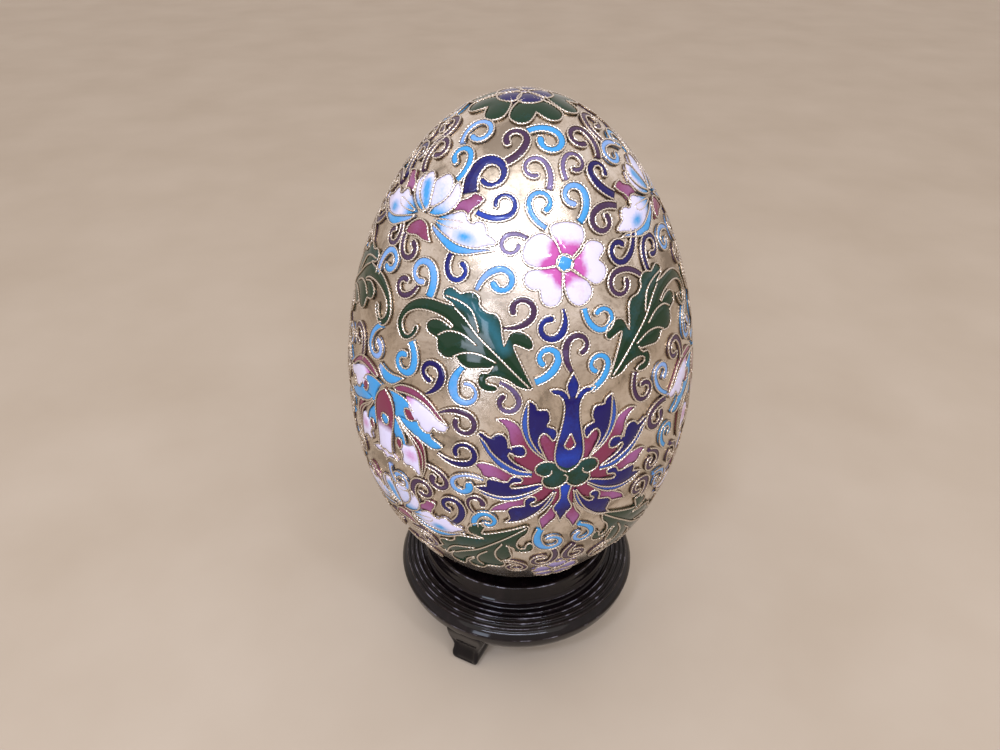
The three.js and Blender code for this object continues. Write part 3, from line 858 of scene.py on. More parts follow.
def hanging_lotus():
    """The hanging lotus: a drooping bud between wine red, white and blue petals."""
    f = Figure()
    crescent = joined([(2.6, 8.8), (5.0, 10.3), (8.5, 10.7), (11.5, 9.6), (13.8, 7.8), (16.8, 5.0)],
                      [(16.3, 5.2), (14.3, 6.0), (12.5, 7.5), (10.0, 8.7), (7.0, 8.9), (3.5, 8.3)])
    f.petal("magenta", crescent, tint=0.3)
    tip, lobe = (16.8, 4.6), [(16.3, 3.4), (14.5, 3.0), (13.6, 3.6)]
    hem = [(12.8, 2.0), (11.5, 1.8), (10.3, 2.6), (9.7, 3.8)]
    white = outline([(6.3, 8.1), (8.6, 8.2), (11.0, 7.5), (13.0, 6.6), (15.0, 5.4), tip],
                    lobe, hem + [(8.5, 3.5), (7.2, 5.0)])
    f.cell("white", white, tint=lambda x, y: (8.0 - x) / 3.0 + (y - 7.0) / 3.0)
    f.wire(joined([tip] + lobe, hem))
    shoulder = [(1.0, 7.6), (3.0, 7.9), (5.0, 7.8), (7.2, 7.0), (8.6, 5.2)]
    collar = outline(shoulder, [(7.0, 5.3), (6.3, 4.4), (6.8, 3.2), (8.3, 2.6)], [(5.5, 2.8), (3.4, 1.0)],
                     [(3.4, 4.0), (2.4, 6.3)])
    f.cell("sky", collar)
    f.wire(curve(shoulder))
    eye = curve([(8.9, 5.4), (7.6, 5.6), (6.3, 5.3), (6.3, 4.2), (7.2, 3.0), (8.6, 3.2)])
    f.cell("magenta", np.concatenate([eye, [(8.9, 4.2)]]), lower=-0.03)
    f.wire(eye)
    notch, barbed = (13.0, 1.9), [(13.5, 0.8), (14.8, 0.2), (15.9, -0.5)]
    belly = [(15.2, -1.4), (13.4, -1.8), (11.0, -1.0), (8.0, 0.2), (5.8, 1.3)]
    barb = outline([(4.5, 2.4), (6.5, 2.6), (8.4, 2.8), (9.6, 3.4)], [(10.3, 2.6), (11.6, 1.7), notch],
                   barbed, belly)
    f.cell("sky", barb, lower=0.02)
    f.wire(joined([notch] + barbed, belly + [(4.4, 2.6)]))
    inner = outline([(4.2, 2.2), (6.0, 0.6), (8.5, -1.2), (10.2, -3.0), (11.0, -5.0), (11.0, -7.5),
                     (10.4, -11.0)], [(10.2, -8.0), (10.0, -5.5), (9.3, -3.3), (7.8, -1.3), (5.8, 0.3)])
    f.petal("magenta", inner, tint=0.1)
    back = [(8.6, -0.5), (9.8, -0.3), (11.3, -2.0), (11.8, -5.0), (11.6, -8.0)]
    f.cell("magenta", outline(back, [(11.0, -9.4), (11.2, -7.5), (11.2, -5.0), (10.4, -3.0)]))
    f.wire(curve(back + [(10.6, -11.0)]))
    tip, lobe = (10.4, -10.3), [(9.5, -10.8), (8.6, -9.7), (7.5, -9.2)]
    hem = [(6.3, -9.6), (5.2, -8.6), (5.6, -7.0), (4.8, -6.0)]
    pink = outline([(5.5, -4.0), (7.0, -4.2), (8.7, -3.4), (9.8, -5.0), (10.2, -7.5), tip], lobe, hem)
    f.cell("white", pink, lower=0.02, tint=lambda x, y: 0.75 - np.hypot(x - 8.0, y + 6.0) / 3.0)
    f.wire(joined([tip] + lobe, hem))
    small = outline([(3.3, 1.2), (4.2, 0.6), (6.0, -1.5), (6.8, -3.8)],
                    [(6.0, -4.3), (5.2, -3.0), (4.3, -3.0), (3.8, -4.0)], [(3.1, -1.5)])
    f.cell("sky", small, lower=0.02)
    f.wire(curve([(3.6, 2.4), (4.8, 0.6), (6.2, -1.5), (6.8, -3.8)]))
    f.button("magenta", curve([(5.2, -3.0), (4.3, -3.0), (3.8, -4.2), (4.3, -5.6), (5.2, -5.4),
                               (5.6, -4.2), (5.2, -3.0)]))
    f.mirror()
    bud = outline([(0.0, 7.3), (-2.0, 5.5), (-3.1, 3.0), (-3.1, 0.0), (-2.6, -3.0), (-2.3, -6.0),
                   (-2.4, -8.5)], [(-1.0, -9.0), (0.0, -8.6), (1.0, -9.0), (2.4, -8.5)],
                  [(2.3, -6.0), (2.6, -3.0), (3.1, 0.0), (3.1, 3.0), (2.0, 5.5)])
    eye = curve([(-0.9, -0.2), (-0.6, 0.9), (0.4, 1.2), (1.4, 0.7), (1.6, -0.4), (0.9, -1.4),
                 (-0.3, -1.3), (-0.9, -0.2)])
    f.petal("white_wine", bud, ribs=[eye], tint=lambda x, y: 0.9 + (y + 1.4) / 2.2)
    f.button("sky", eye, up=0.4, lower=-0.05)
    runs = ([(-2.4, -8.3), (-5.2, -10.2)], [(-3.0, -10.6), (-1.2, -10.0), (0.0, -11.5)],
            [(1.2, -10.2), (3.8, -9.8)], [(2.2, -8.6)])
    f.cell("white", outline(*runs), lower=0.05, tint=0.15)
    f.wire(joined(*runs))
    cap = outline([(5.3, 11.9), (3.8, 11.8), (2.0, 11.5), (0.0, 11.7), (-2.0, 12.4)],
                  [(-2.7, 11.4), (-1.8, 10.0), (-0.5, 9.1), (1.0, 8.9), (2.5, 9.3), (4.0, 10.5)])
    f.petal("sky", cap, tint=lambda x, y: (-x - 0.5) / 3.0)
    return f


def small_lotus():
    """The small lotus: white petals shaded with sky blue over two long wings."""
    f = Figure()
    brow = [(7.5, 2.0), (8.8, 2.2), (10.0, 1.0)]
    lobes = ([(11.0, 0.9), (11.6, 1.6), (12.9, 1.9), (14.0, 1.0)],
             [(14.5, 0.2), (16.5, -0.3), (16.8, -1.2)], [(15.2, -2.2), (13.8, -3.2)])
    wing = outline([(2.6, -1.4), (4.2, -0.4), (6.3, 1.0)], brow, *lobes,
                   [(12.0, -3.7), (9.5, -3.9), (6.0, -3.2)])
    f.cell("white_sky", wing, tint=lambda x, y: np.maximum(
        1.1 - np.hypot((x - 10.8) / 2.2, (y + 2.2) / 1.2) * 0.8, (7.5 - x) / 3.5))
    f.wire(joined([(6.3, 1.0)] + brow, *lobes))
    crescent = joined([(2.5, -2.2), (3.5, -3.5), (6.0, -4.8), (9.0, -5.8), (12.0, -5.2), (15.0, -3.5),
                       (17.0, -2.3)],
                      [(15.4, -2.5), (13.8, -3.2), (12.5, -3.6), (9.5, -3.9), (6.0, -3.2), (2.8, -2.2)])
    f.petal("sky", crescent, tint=lambda x, y: 0.25 + (np.abs(x - 9.0) - 3.0) / 8.0)
    tongue = outline([(3.0, -1.2), (6.0, -0.4), (8.6, 0.2), (9.2, -0.3), (8.3, -1.3), (6.0, -1.7),
                      (3.5, -1.6)])
    f.petal("sky", tongue, lower=-0.03)
    rise = [(6.2, 1.8), (6.6, 3.8), (8.0, 5.0), (8.6, 6.2), (10.0, 6.3), (11.0, 6.0)]
    fall = [(10.6, 4.6), (9.9, 3.6)]
    f.cell("magenta", outline(rise, fall, [(9.6, 2.0), (8.2, 2.4)]),
           tint=lambda x, y: 0.85 - np.abs(y - 3.2) / 6.0)
    f.wire(joined(rise, fall, [(9.6, 2.0), (10.3, 1.2)]))
    f.mirror()
    cap = outline([(-3.4, -5.8), (-3.0, -4.2), (-1.5, -2.8), (0.0, -2.3), (1.7, -2.9), (2.8, -4.4),
                   (3.9, -5.7)], [(2.0, -5.9), (0.0, -5.6), (-2.0, -6.0)])
    f.petal("magenta", cap, tint=0.3)
    left = outline([(-0.2, -0.9), (-2.2, -0.6), (-4.2, 0.6), (-5.6, 2.3), (-6.1, 4.4), (-5.2, 6.2)],
                   [(-4.4, 6.2), (-4.6, 4.0), (-3.5, 1.8), (-1.5, 0.2)])
    right = outline([(0.8, -0.9), (3.0, -0.6), (5.0, 0.6), (6.1, 2.4), (6.4, 4.2), (5.8, 5.8), (4.6, 7.0)],
                    [(4.0, 6.3), (3.8, 4.3), (3.0, 2.4), (1.6, 0.9)])
    for line in (left, right):
        f.petal("white_sky", line, lower=0.03, tint=lambda x, y: 0.9 - y / 2.6)
    fold = outline([(0.4, 0.5), (-0.3, 2.5), (-1.0, 5.2), (0.0, 6.8), (1.6, 7.8), (3.4, 6.6), (3.8, 4.3),
                    (3.0, 2.4), (1.6, 0.9)])
    f.petal("white_sky", fold, tint=0.15)
    middle = outline([(0.2, -0.6), (-1.5, 0.2), (-3.5, 1.8), (-4.7, 4.0), (-4.4, 6.1), (-2.9, 7.2),
                      (-1.5, 6.0), (-0.5, 3.5), (0.2, 1.0)])
    streak = np.array([(-0.8, 0.8), (-2.8, 4.6)])
    f.petal("white_sky", middle, lower=-0.02,
            tint=lambda x, y: 1.5 - nearness(np.stack([x, y], -1), [streak]))
    return f


def crown_rosette():
    """The rosette on the egg's top: five dark blue petals over five notched green ones."""
    f = Figure()
    half = joined([(-0.6, 3.6), (-3.0, 5.0), (-4.8, 7.0), (-5.5, 9.0), (-4.3, 10.9), (-2.4, 11.2),
                   (-0.9, 10.0), (0.0, 8.7)])
    sepal = np.concatenate([half, flipped(half)[-2::-1]])
    petal = curve([(-0.4, 0.9), (-1.9, 2.2), (-2.7, 3.8), (-2.0, 5.2), (0.0, 5.9), (2.0, 5.2), (2.7, 3.8),
                   (1.9, 2.2), (0.4, 0.9)])
    for finish, line, first, lower, up in (("green", sepal, 195.0, 0.06, 0.3),
                                           ("navy", petal, 198.0, -0.05, 0.4)):
        for k in range(PETALS):
            leaf_line = turned(line, first + 360.0 / PETALS * k)
            f.cell(finish, leaf_line, lower=lower)
            f.wire(leaf_line, up=up)
    f.button("violet", ring(1.0, 16), up=0.4, lower=-0.05, tint=0.6)
    return f


def lavender_flower():
    """A lilac blossom for the egg's foot."""
    f = Figure()
    petal = curve([(-0.4, 1.0), (-2.0, 2.6), (-2.4, 4.4), (-1.2, 5.6), (0.0, 5.2), (1.2, 5.6), (2.4, 4.4),
                   (2.0, 2.6), (0.4, 1.0)])
    for k in range(PETALS):
        f.petal("violet", turned(petal, 360.0 / PETALS * k),
                tint=lambda x, y: 0.2 + np.hypot(x, y) / 5.0)
    f.button("violet", ring(1.1, 16), up=0.4, lower=-0.05)
    return f


# The tendrils, by the centre (angle, arc) of the flat map they are drawn on. Each has its finish, where
# its stem starts, its curl's centre, radius and sweep, and its width at the root, in the bend and at the
# end; the last pair, where given, shades it from root to end.
UPPER_SCROLLS = {
    (-25.0, 141.0): (
        ("sky", (-4.2, -1.8), (-5.0, 3.0), 2.1, 275, (1.4, 1.5, 1.3)),
        ("violet", (3.9, 3.0), (4.3, 8.4), 2.3, 286, (1.7, 1.7, 1.2)),
        ("navy", (-0.7, -3.8), (2.2, 0.4), 3.0, -330, (3.2, 2.5, 1.0), (0.1, 0.4)),
        ("navy", (1.6, -7.2), (6.3, -4.8), 2.3, 313.5, (1.3, 1.4, 0.9), (0.9, 0.3)),
        ("violet", (13.6, 0.6), (9.9, 3.7), 2.3, 302.5, (1.4, 1.3, 0.9), (0.6, 0.4)),
    ),
    (14.0, 145.0): (
        ("sky", (-2.6, 6.2), (1.0, 3.6), 2.6, -313.5, (1.5, 1.8, 1.3)),
        ("violet", (10.8, 0.2), (7.6, 4.4), 2.4, 313.5, (1.4, 1.6, 1.2)),
        ("violet", (2.6, -4.8), (4.9, -1.5), 2.1, -313.5, (1.1, 1.2, 1.0), (0.6, 0.1)),
        ("navy", (12.8, -7.8), (10.1, -3.0), 2.1, -280.5, (2.0, 2.0, 1.1)),
    ),
    (14.0, 136.0): (
        ("sky", (-2.7, -4.6), (-3.0, 0.1), 2.3, -302.5, (1.2, 1.3, 1.1), (0.3, 0.0)),
        ("sky", (4.0, -4.0), (3.6, 0.9), 2.3, 313.5, (1.5, 1.8, 1.2), (0.0, 0.5)),
    ),
    (50.0, 141.0): (
        ("violet", (-3.0, -8.1), (-7.9, -9.2), 2.3, 330, (1.5, 1.6, 1.2)),
    ),
    (-30.0, 120.0): (
        ("sky", (-1.9, -4.0), (-4.4, 0.2), 2.5, 313.5, (1.9, 2.0, 1.2), (0.0, 0.6)),
        ("violet", (-5.0, -2.4), (-8.5, -3.2), 2.0, -280.5, (0.9, 1.4, 1.2)),
        ("navy", (1.0, 5.3), (3.1, 2.6), 2.1, 275, (1.3, 1.4, 1.1), (0.1, 0.7)),
        ("sky", (7.6, -0.3), (11.8, 2.5), 2.3, -330, (1.0, 1.6, 1.3), (0.5, 0.0)),
        ("violet", (14.4, 11.5), (11.9, 9.6), 2.0, 308, (1.0, 1.2, 0.9), (0.4, 0.7)),
    ),
    (4.0, 108.0): (
        ("violet", (-6.6, 4.9), (-3.1, 8.2), 2.4, 297, (0.7, 1.5, 1.2)),
        ("navy", (4.7, 8.2), (2.4, 4.8), 2.4, -302.5, (0.6, 1.7, 1.2), (0.3, 0.3)),
        ("sky", (-0.7, -5.9), (1.7, -1.3), 2.1, 313.5, (1.6, 1.9, 1.2)),
        ("violet", (6.5, -4.3), (7.7, 0.8), 2.3, -280.5, (1.1, 1.7, 1.1), (0.1, 0.0)),
        ("sky", (10.2, -8.6), (12.0, -3.4), 2.1, 319, (1.5, 1.7, 1.1)),
    ),
    (42.0, 118.0): (
        ("navy", (2.6, 9.7), (-2.6, 6.7), 2.3, -313.5, (1.3, 1.6, 1.2)),
        ("violet", (1.4, 0.4), (-4.5, 0.7), 2.5, 330, (1.3, 1.4, 1.1)),
        ("sky", (-13.4, -1.4), (-10.2, -4.3), 2.4, 319, (1.3, 1.5, 1.1)),
    ),
}
# Where one repeat meets the next, the tendrils differ: those of the left seam and of the other two.
LEFT_SCROLLS = {
    (-25.0, 141.0): (
        ("violet", (-14.2, 0.2), (-11.6, 5.1), 2.4, -313.5, (1.2, 1.5, 1.2)),
        ("sky", (-6.2, 6.2), (-3.2, 9.0), 2.6, -330, (1.2, 1.4, 1.2), (0.5, 0.2)),
    ),
    (-30.0, 120.0): (
        ("violet", (-11.3, 7.0), (-9.2, 4.2), 2.1, 269.5, (1.2, 1.4, 1.3)),
        ("violet", (-13.2, 9.0), (-15.2, 6.0), 1.9, -297, (1.0, 1.3, 1.1)),
        ("sky", (-18.3, -3.2), (-14.4, 0.6), 2.4, -319, (1.5, 1.7, 1.4), (0.6, 0.1)),
    ),
}
RIGHT_SCROLLS = {
    (50.0, 141.0): (
        ("violet", (3.4, 4.3), (5.6, 9.3), 2.3, -313.5, (1.2, 1.4, 1.1)),
        ("sky", (8.8, 2.4), (3.6, 1.5), 2.3, 297, (1.2, 1.4, 1.2), (0.6, 0.3)),
    ),
    (42.0, 118.0): (
        ("navy", (3.7, 0.8), (6.5, 5.0), 2.4, -313.5, (1.3, 1.5, 1.1)),
        ("sky", (16.5, 6.6), (12.8, 5.0), 2.3, 297, (1.2, 1.4, 1.2), (0.5, 0.2)),
    ),
}
LOWER_SCROLLS = {
    (-33.0, 98.0): (
        ("sky", (-11.7, 8.8), (-13.1, 3.5), 2.4, 319, (1.4, 1.5, 1.5), (0.0, 0.7)),
        ("sky", (-2.7, 8.2), (-3.8, 3.5), 2.4, -319, (1.7, 2.0, 1.3)),
        ("navy", (2.0, -1.6), (3.0, 3.2), 2.4, 330, (0.6, 1.9, 1.2)),
        ("sky", (9.4, 6.3), (10.7, 1.4), 2.6, 319, (1.3, 2.4, 0.9), (0.0, 0.6)),
        ("violet", (5.2, -5.0), (10.8, -5.9), 2.5, -330, (0.6, 1.5, 1.2)),
    ),
    (-6.0, 98.0): (
        ("violet", (-0.9, 3.9), (0.8, -0.2), 2.2, -313.5, (1.0, 1.4, 1.2), (0.25, 0.1)),
    ),
    (48.0, 98.0): (
        ("violet", (-8.6, 2.2), (-6.8, -2.5), 2.2, 319, (1.2, 1.4, 1.1)),
        ("sky", (0.9, -7.0), (-0.9, -1.4), 2.2, -308, (1.1, 1.3, 1.3), (0.2, 0.6)),
        ("violet", (7.9, -2.4), (4.8, 1.8), 2.4, 302.5, (1.3, 1.5, 1.1)),
    ),
    (-16.0, 82.0): (
        ("navy", (-6.8, 1.4), (-1.0, 2.9), 2.6, 330, (0.6, 1.7, 1.1)),
        ("violet", (-9.9, -2.8), (-6.9, -6.3), 2.1, -319, (0.9, 1.3, 1.5)),
        ("sky", (3.3, -3.1), (-1.4, -5.5), 2.3, 319, (0.8, 1.0, 1.7), (0.9, 0.0)),
    ),
    (42.0, 82.0): (
        ("violet", (4.7, 8.0), (1.2, 4.9), 2.5, 319, (1.5, 1.8, 1.4)),
        ("sky", (5.8, -5.2), (5.6, -1.0), 2.0, -297, (1.3, 1.5, 1.2)),
        ("violet", (-0.3, -3.2), (1.2, -7.0), 2.1, -313.5, (0.9, 1.2, 1.2)),
    ),
    (-28.0, 74.0): (
        ("violet", (-5.0, -6.8), (-2.5, -2.6), 2.4, -330, (1.4, 1.6, 1.2)),
        ("sky", (-12.2, -0.6), (-9.1, -3.5), 2.4, 352, (1.2, 1.4, 1.2), (0.7, 0.4)),
        ("navy", (4.3, -10.4), (4.3, -4.9), 2.4, 302.5, (1.7, 1.9, 1.3)),
        ("violet", (10.0, -5.8), (10.2, -2.2), 1.9, -253, (0.6, 0.9, 1.4)),
        ("sky", (9.3, -10.3), (12.0, -7.4), 2.2, -313.5, (1.6, 1.7, 1.2)),
    ),
    (10.0, 52.0): (
        ("sky", (-3.0, 12.2), (-0.4, 7.1), 2.6, 324.5, (1.7, 2.1, 1.2), (0.0, 0.3)),
        ("sky", (5.6, 12.0), (6.8, 7.6), 2.3, -308, (1.2, 1.6, 1.3), (0.0, 0.4)),
        ("violet", (0.3, 4.2), (-1.7, -1.4), 2.5, -319, (1.4, 1.6, 1.1)),
        ("violet", (5.3, 4.2), (6.1, -0.6), 2.4, 319, (1.4, 1.6, 1.1)),
        ("violet", (-10.3, -2.1), (-7.4, -5.5), 2.3, -319, (0.9, 1.2, 1.0)),
        ("violet", (16.3, -1.6), (13.2, -5.6), 2.3, 319, (0.9, 1.2, 1.0)),
    ),
    (-44.0, 49.0): (
        ("violet", (1.6, 4.8), (5.4, 1.6), 2.4, -319, (0.9, 1.5, 1.1), (0.3, 0.1)),
        ("violet", (-1.6, 4.8), (-5.4, 1.6), 2.4, 319, (0.9, 1.5, 1.1), (0.3, 0.1)),
    ),
    (-45.0, 40.0): (
        ("violet", (0.6, 5.4), (3.3, 1.2), 2.1, -319, (0.9, 1.3, 1.1)),
        ("violet", (-0.6, 5.4), (-3.3, 1.2), 2.1, 319, (0.9, 1.3, 1.1)),
    ),
    (50.0, 76.0): (
        ("violet", (-6.0, -11.3), (-7.4, -6.9), 2.4, 319, (1.4, 1.6, 1.1)),
        ("violet", (3.4, -1.0), (4.6, -4.6), 2.1, -313.5, (1.0, 1.3, 1.1)),
        ("sky", (-2.6, -6.2), (0.4, -9.4), 2.1, -319, (1.0, 1.3, 1.2), (0.2, 0.5)),
    ),
}


# ------------------------------------------------------------------ turned and carved parts, mm

GROUND_RINGS = 96
GROUND_SPOKES = 144
STAND_SPOKES = 96
SEAT_GAP = 0.3  # between the egg and its seat
SEAT_REACH = 18.0  # arc up the egg's outline to the seat's edge
SEAT_RINGS = 11
FILLET_POINTS = 5
FILLET_SHARE = 0.45  # the most of a side that one fillet may take
CRISP = 0.1  # how near a fillet a ring keeps the shading of the side
ARRIS_HIGHLIGHT_REACH = 0.32  # how far the painted highlight reaches from an arris

# Round the stand from the middle of its underside to its seat: radius, height and fillet.
STAND_CORNERS = (
    (0.0, 8.6, 0), (10.0, 8.6, 0), (20.0, 8.6, 0), (27.4, 8.6, 0.8), (29.6, 9.1, 0.9), (31.4, 10.6, 1.0),
    (32.5, 12.6, 1.0), (32.9, 14.2, 0.6), (33.14, 15.5, 0.4), (32.4, 16.7, 0.5), (31.55, 17.4, 0.2),
    (31.55, 18.12, 0.3), (30.85, 18.26, 0.2), (30.75, 18.06, 0.08), (30.3, 18.28, 0.08), (30.3, 18.84, 0.3),
    (29.62, 18.94, 0.2), (29.52, 18.62, 0.08), (29.05, 18.76, 0.08), (29.05, 19.28, 0.3), (28.4, 19.34, 0.2),
    (28.3, 19.02, 0.08), (27.6, 19.05, 0.08), (27.55, 19.44, 0.18), (27.1, 19.46, 0.14), (27.0, 19.22, 0.1),
    (25.75, 19.3, 0.5), (25.6, 21.2, 0.3), (26.42, 21.7, 0.22), (26.36, 22.2, 0.22), (25.95, 22.9, 0.5),
    (25.75, 25.0, 0.5), (25.72, 27.0, 0.34), (25.0, 27.0, 0.25), (22.0, 26.2, 0.6), (19.6, 25.5, 0.4),
)
# Its arrises, where highlights are painted on the lacquer: radius and height.
STAND_ARRISES = ((33.1, 15.45), (31.45, 18.1), (30.2, 18.72), (28.95, 19.2), (27.5, 19.38), (26.36, 21.9),
                 (25.65, 26.9))

FEET = 3
FIRST_FOOT = -27.0  # degrees from the front, towards +X
# One foot from the side, as distance out from the stand's axis and height.
FOOT_SIDE = (
    [(23.5, 10.6), (23.4, 7.6), (23.7, 4.6), (24.6, 2.0), (26.2, 0.0)],
    [(27.5, 0.0), (29.0, 0.0), (30.2, 0.0)],
    [(31.3, 0.35), (31.95, 1.3), (32.05, 2.5), (31.7, 3.8), (31.3, 5.0), (31.2, 6.4), (31.4, 8.2),
     (31.8, 10.0), (32.2, 11.6), (32.35, 13.0)],
    [(29.5, 12.6), (26.5, 11.4)],
)
FOOT_HALF = 5.25  # half its width at the top
# From the front: half its width by height.
FOOT_FRONT = ((-1.0, 2.2), (0.0, 2.5), (0.5, 3.15), (1.2, 3.6), (2.2, 3.9), (3.2, 3.95), (4.4, 3.75),
              (5.6, 3.8), (7.0, 4.4), (8.4, 5.0), (9.6, FOOT_HALF), (14.0, FOOT_HALF))
FOOT_BEVEL = 0.7
FOOT_STEP = 0.5  # spacing of the cuts across it
FOOT_CUTS = {0: (-4.5, 4.6), 2: (0.4, 13.0)}  # where the cuts start and end, across and upward
PANEL_OUT = 30.5  # its sunken panel lies further out than this
PANEL_DEPTH = 0.4
PANEL_RIM = (0.9, 1.5)  # from its edges, where the panel starts to sink and where it is full
PANEL_TOP = (6.5, 8.5)  # heights where the panel starts to end and where it has ended


def turned_piece(name, points, finish, steps, highlit_arrises=()):
    """A closed solid turned about Z from (radius, height) points, whose ends lie on the axis. Its tint,
    the painted highlight along the arrises, is 1 at a listed point and falls to 0 a short reach away."""
    bm = new_layer()
    tint = bm.verts.layers.float["tint"]
    verts = [bm.verts.new((0, -radius * MM, height * MM)) for radius, height in points]
    for vert, (radius, height) in zip(verts, points):
        away = min((math.hypot(radius - r, height - z) for r, z in highlit_arrises), default=ARRIS_HIGHLIGHT_REACH)
        vert[tint] = max(0.0, 1.0 - away / ARRIS_HIGHLIGHT_REACH)
    for pair in zip(verts, verts[1:]):
        bm.edges.new(pair)
    bmesh.ops.spin(bm, geom=bm.verts[:] + bm.edges[:], cent=(0, 0, 0), axis=(0, 0, 1),
                   angle=math.tau, steps=steps, use_merge=True)
    bmesh.ops.remove_doubles(bm, verts=bm.verts[:], dist=0.002 * MM)
    bmesh.ops.recalc_face_normals(bm, faces=bm.faces[:])
    smooth(bm)
    return piece(name, bm, finish)


def filleted(corners):
    """A profile whose corners, (radius, height, fillet), are rounded by a short arc each."""
    points = [np.array(c[:2], float) for c in corners]
    line = [tuple(points[0])]
    for i in range(1, len(points) - 1):
        here, fillet = points[i], corners[i][2]
        back, on = points[i - 1] - here, points[i + 1] - here
        a, b = math.hypot(*back), math.hypot(*on)
        if not fillet:
            line.append(tuple(here))
            continue
        reach = min(fillet, FILLET_SHARE * a, FILLET_SHARE * b)
        start, end = here + back / a * reach, here + on / b * reach
        line.append(tuple(start + back / a * min(CRISP, CRISP * a)))
        for t in np.linspace(0, 1, FILLET_POINTS):
            line.append(tuple((1 - t) ** 2 * start + 2 * t * (1 - t) * here + t ** 2 * end))
        line.append(tuple(end + on / b * min(CRISP, CRISP * b)))
    return line + [tuple(points[-1])]


def egg_profile(arc, gap=0.0):
    """Radius and height of the egg's outline at an arc from its bottom, or a gap outside it."""
    s = sizes()
    arcs, radii, heights, slope = meridian(s.height, s.radius, s.bluntness)
    lean = -np.interp(arc, arcs, slope)
    out = np.interp(arc, arcs, radii) + gap * math.sqrt(max(0, 1 - lean * lean))
    return out, s.base + np.interp(arc, arcs, heights) + gap * lean


def egg_ground():
    """The gilt egg under the enamel."""
    s = sizes()
    end = meridian(s.height, s.radius, s.bluntness)[0][-1]
    ground = [egg_profile(arc) for arc in np.linspace(0, end, GROUND_RINGS + 1)]
    ground[0] = (0, ground[0][1])
    ground[-1] = (0, ground[-1][1])
    obj = turned_piece("egg_ground", ground, "gilt", GROUND_SPOKES)
    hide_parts("egg")


def stand():
    """The turned stand, with the egg's seat hollowed in its top."""
    seat = [egg_profile(arc, SEAT_GAP) for arc in np.linspace(SEAT_REACH, 0, SEAT_RINGS + 1)]
    seat[-1] = (0, seat[-1][1])
    # the arrises listed here get painted highlights in the lacquer
    obj = turned_piece("stand_turned", filleted(STAND_CORNERS) + seat, "lacquer",
                       STAND_SPOKES, highlit_arrises=STAND_ARRISES)
    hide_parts("stand")


def foot(name, node, angle):
    """A carved foot: a knee under the stand's edge, a waist and a small turned-out toe."""
    bm = bmesh.new()
    side = spaced(outline(*FOOT_SIDE), RIM_STEP)[:-1]
    face = bm.faces.new([bm.verts.new((-FOOT_HALF, -out, z)) for out, z in side])
    grown = bmesh.ops.extrude_face_region(bm, geom=[face])["geom"]
    bmesh.ops.translate(bm, vec=(2 * FOOT_HALF, 0, 0), verts=only(grown, bmesh.types.BMVert))
    bmesh.ops.recalc_face_normals(bm, faces=bm.faces[:])
    rim = [e for e in bm.edges if e.verts[0].co.x * e.verts[1].co.x > 0]
    bmesh.ops.bevel(bm, geom=rim, offset=FOOT_BEVEL, segments=3, profile=0.5, affect="EDGES", material=-1)
    for axis, (first, end) in FOOT_CUTS.items():
        cut(bm, axis, np.arange(first, end, FOOT_STEP))
    levels, halves = zip(*FOOT_FRONT)
    for vert in bm.verts:
        half = np.interp(vert.co.z, levels, halves)
        vert.co.x *= half / FOOT_HALF
        if vert.co.y < -PANEL_OUT:
            inside = min(half - abs(vert.co.x), vert.co.z)
            sunk = np.interp(inside, PANEL_RIM, (0, 1)) * np.interp(vert.co.z, PANEL_TOP, (1, 0))
            vert.co.y += PANEL_DEPTH * sunk
    bmesh.ops.triangulate(bm, faces=[f for f in bm.faces if len(f.verts) > 4])
    bmesh.ops.scale(bm, vec=(MM, MM, MM), verts=bm.verts[:])
    turn = Matrix.Rotation(math.radians(angle), 3, "Z")
    bmesh.ops.rotate(bm, cent=(0, 0, 0), matrix=turn, verts=bm.verts[:])
    smooth(bm)
    obj = piece(name, bm, "lacquer")
    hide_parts(node)


# ------------------------------------------------------------------ stage

# The lamps in metres, watts and degrees: place, size, power, colour and spread. A large soft box over
# the front, a low one on the left with a grid that keeps its light off the floor, a strip that draws
# the lines of light on the stand, and two small ones for the glints on the enamel.
LAMPS = {
    "key_box": ((-0.03, -0.43, 0.64), (1.15, 0.62), 2.0, "#FFFBF4", 180.0),
    "left_box": ((-0.36, -0.65, 0.15), (0.17, 0.24), 0.11, "#DCE8FF", 60.0),
    "strip_lamp": ((-0.02, -0.46, 0.42), (0.50, 0.016), 1.3, "#DCE4FF", 180.0),
    "window_lamp": ((-0.16, -0.36, 0.52), (0.07, 0.05), 0.9, "#D4E0FF", 180.0),
    "right_lamp": ((0.22, -0.34, 0.62), (0.05, 0.07), 0.6, "#E0E8FF", 180.0),
}
LAMPS_AIM = Vector((0.0, 0.0, 0.08))
ROOM_TONE = "#DACFCA"
ROOM_LIGHT = 1.28
FLOOR_HALF = 3.0  # m
CAMERA_PLACE = (-0.004854, -0.165359, 0.188828)  # m
CAMERA_TURN = (math.radians(55.764), -0.00033, 0.0)
LENS = 28.8  # mm
SENSOR = 36.0  # its width, mm


def soft_light(name, place, size, power, tone, spread):
    """A rectangular soft box aimed at the egg."""
    data = bpy.data.lights.new(name, "AREA")
    data.shape = "RECTANGLE"
    data.size, data.size_y = size
    data.energy = power
    data.spread = math.radians(spread)
    data.color = linear(tone)[:3]
    lamp = new_object(name, data)
    lamp.location = place
    lamp.rotation_euler = (LAMPS_AIM - Vector(place)).to_track_quat("-Z", "Y").to_euler()


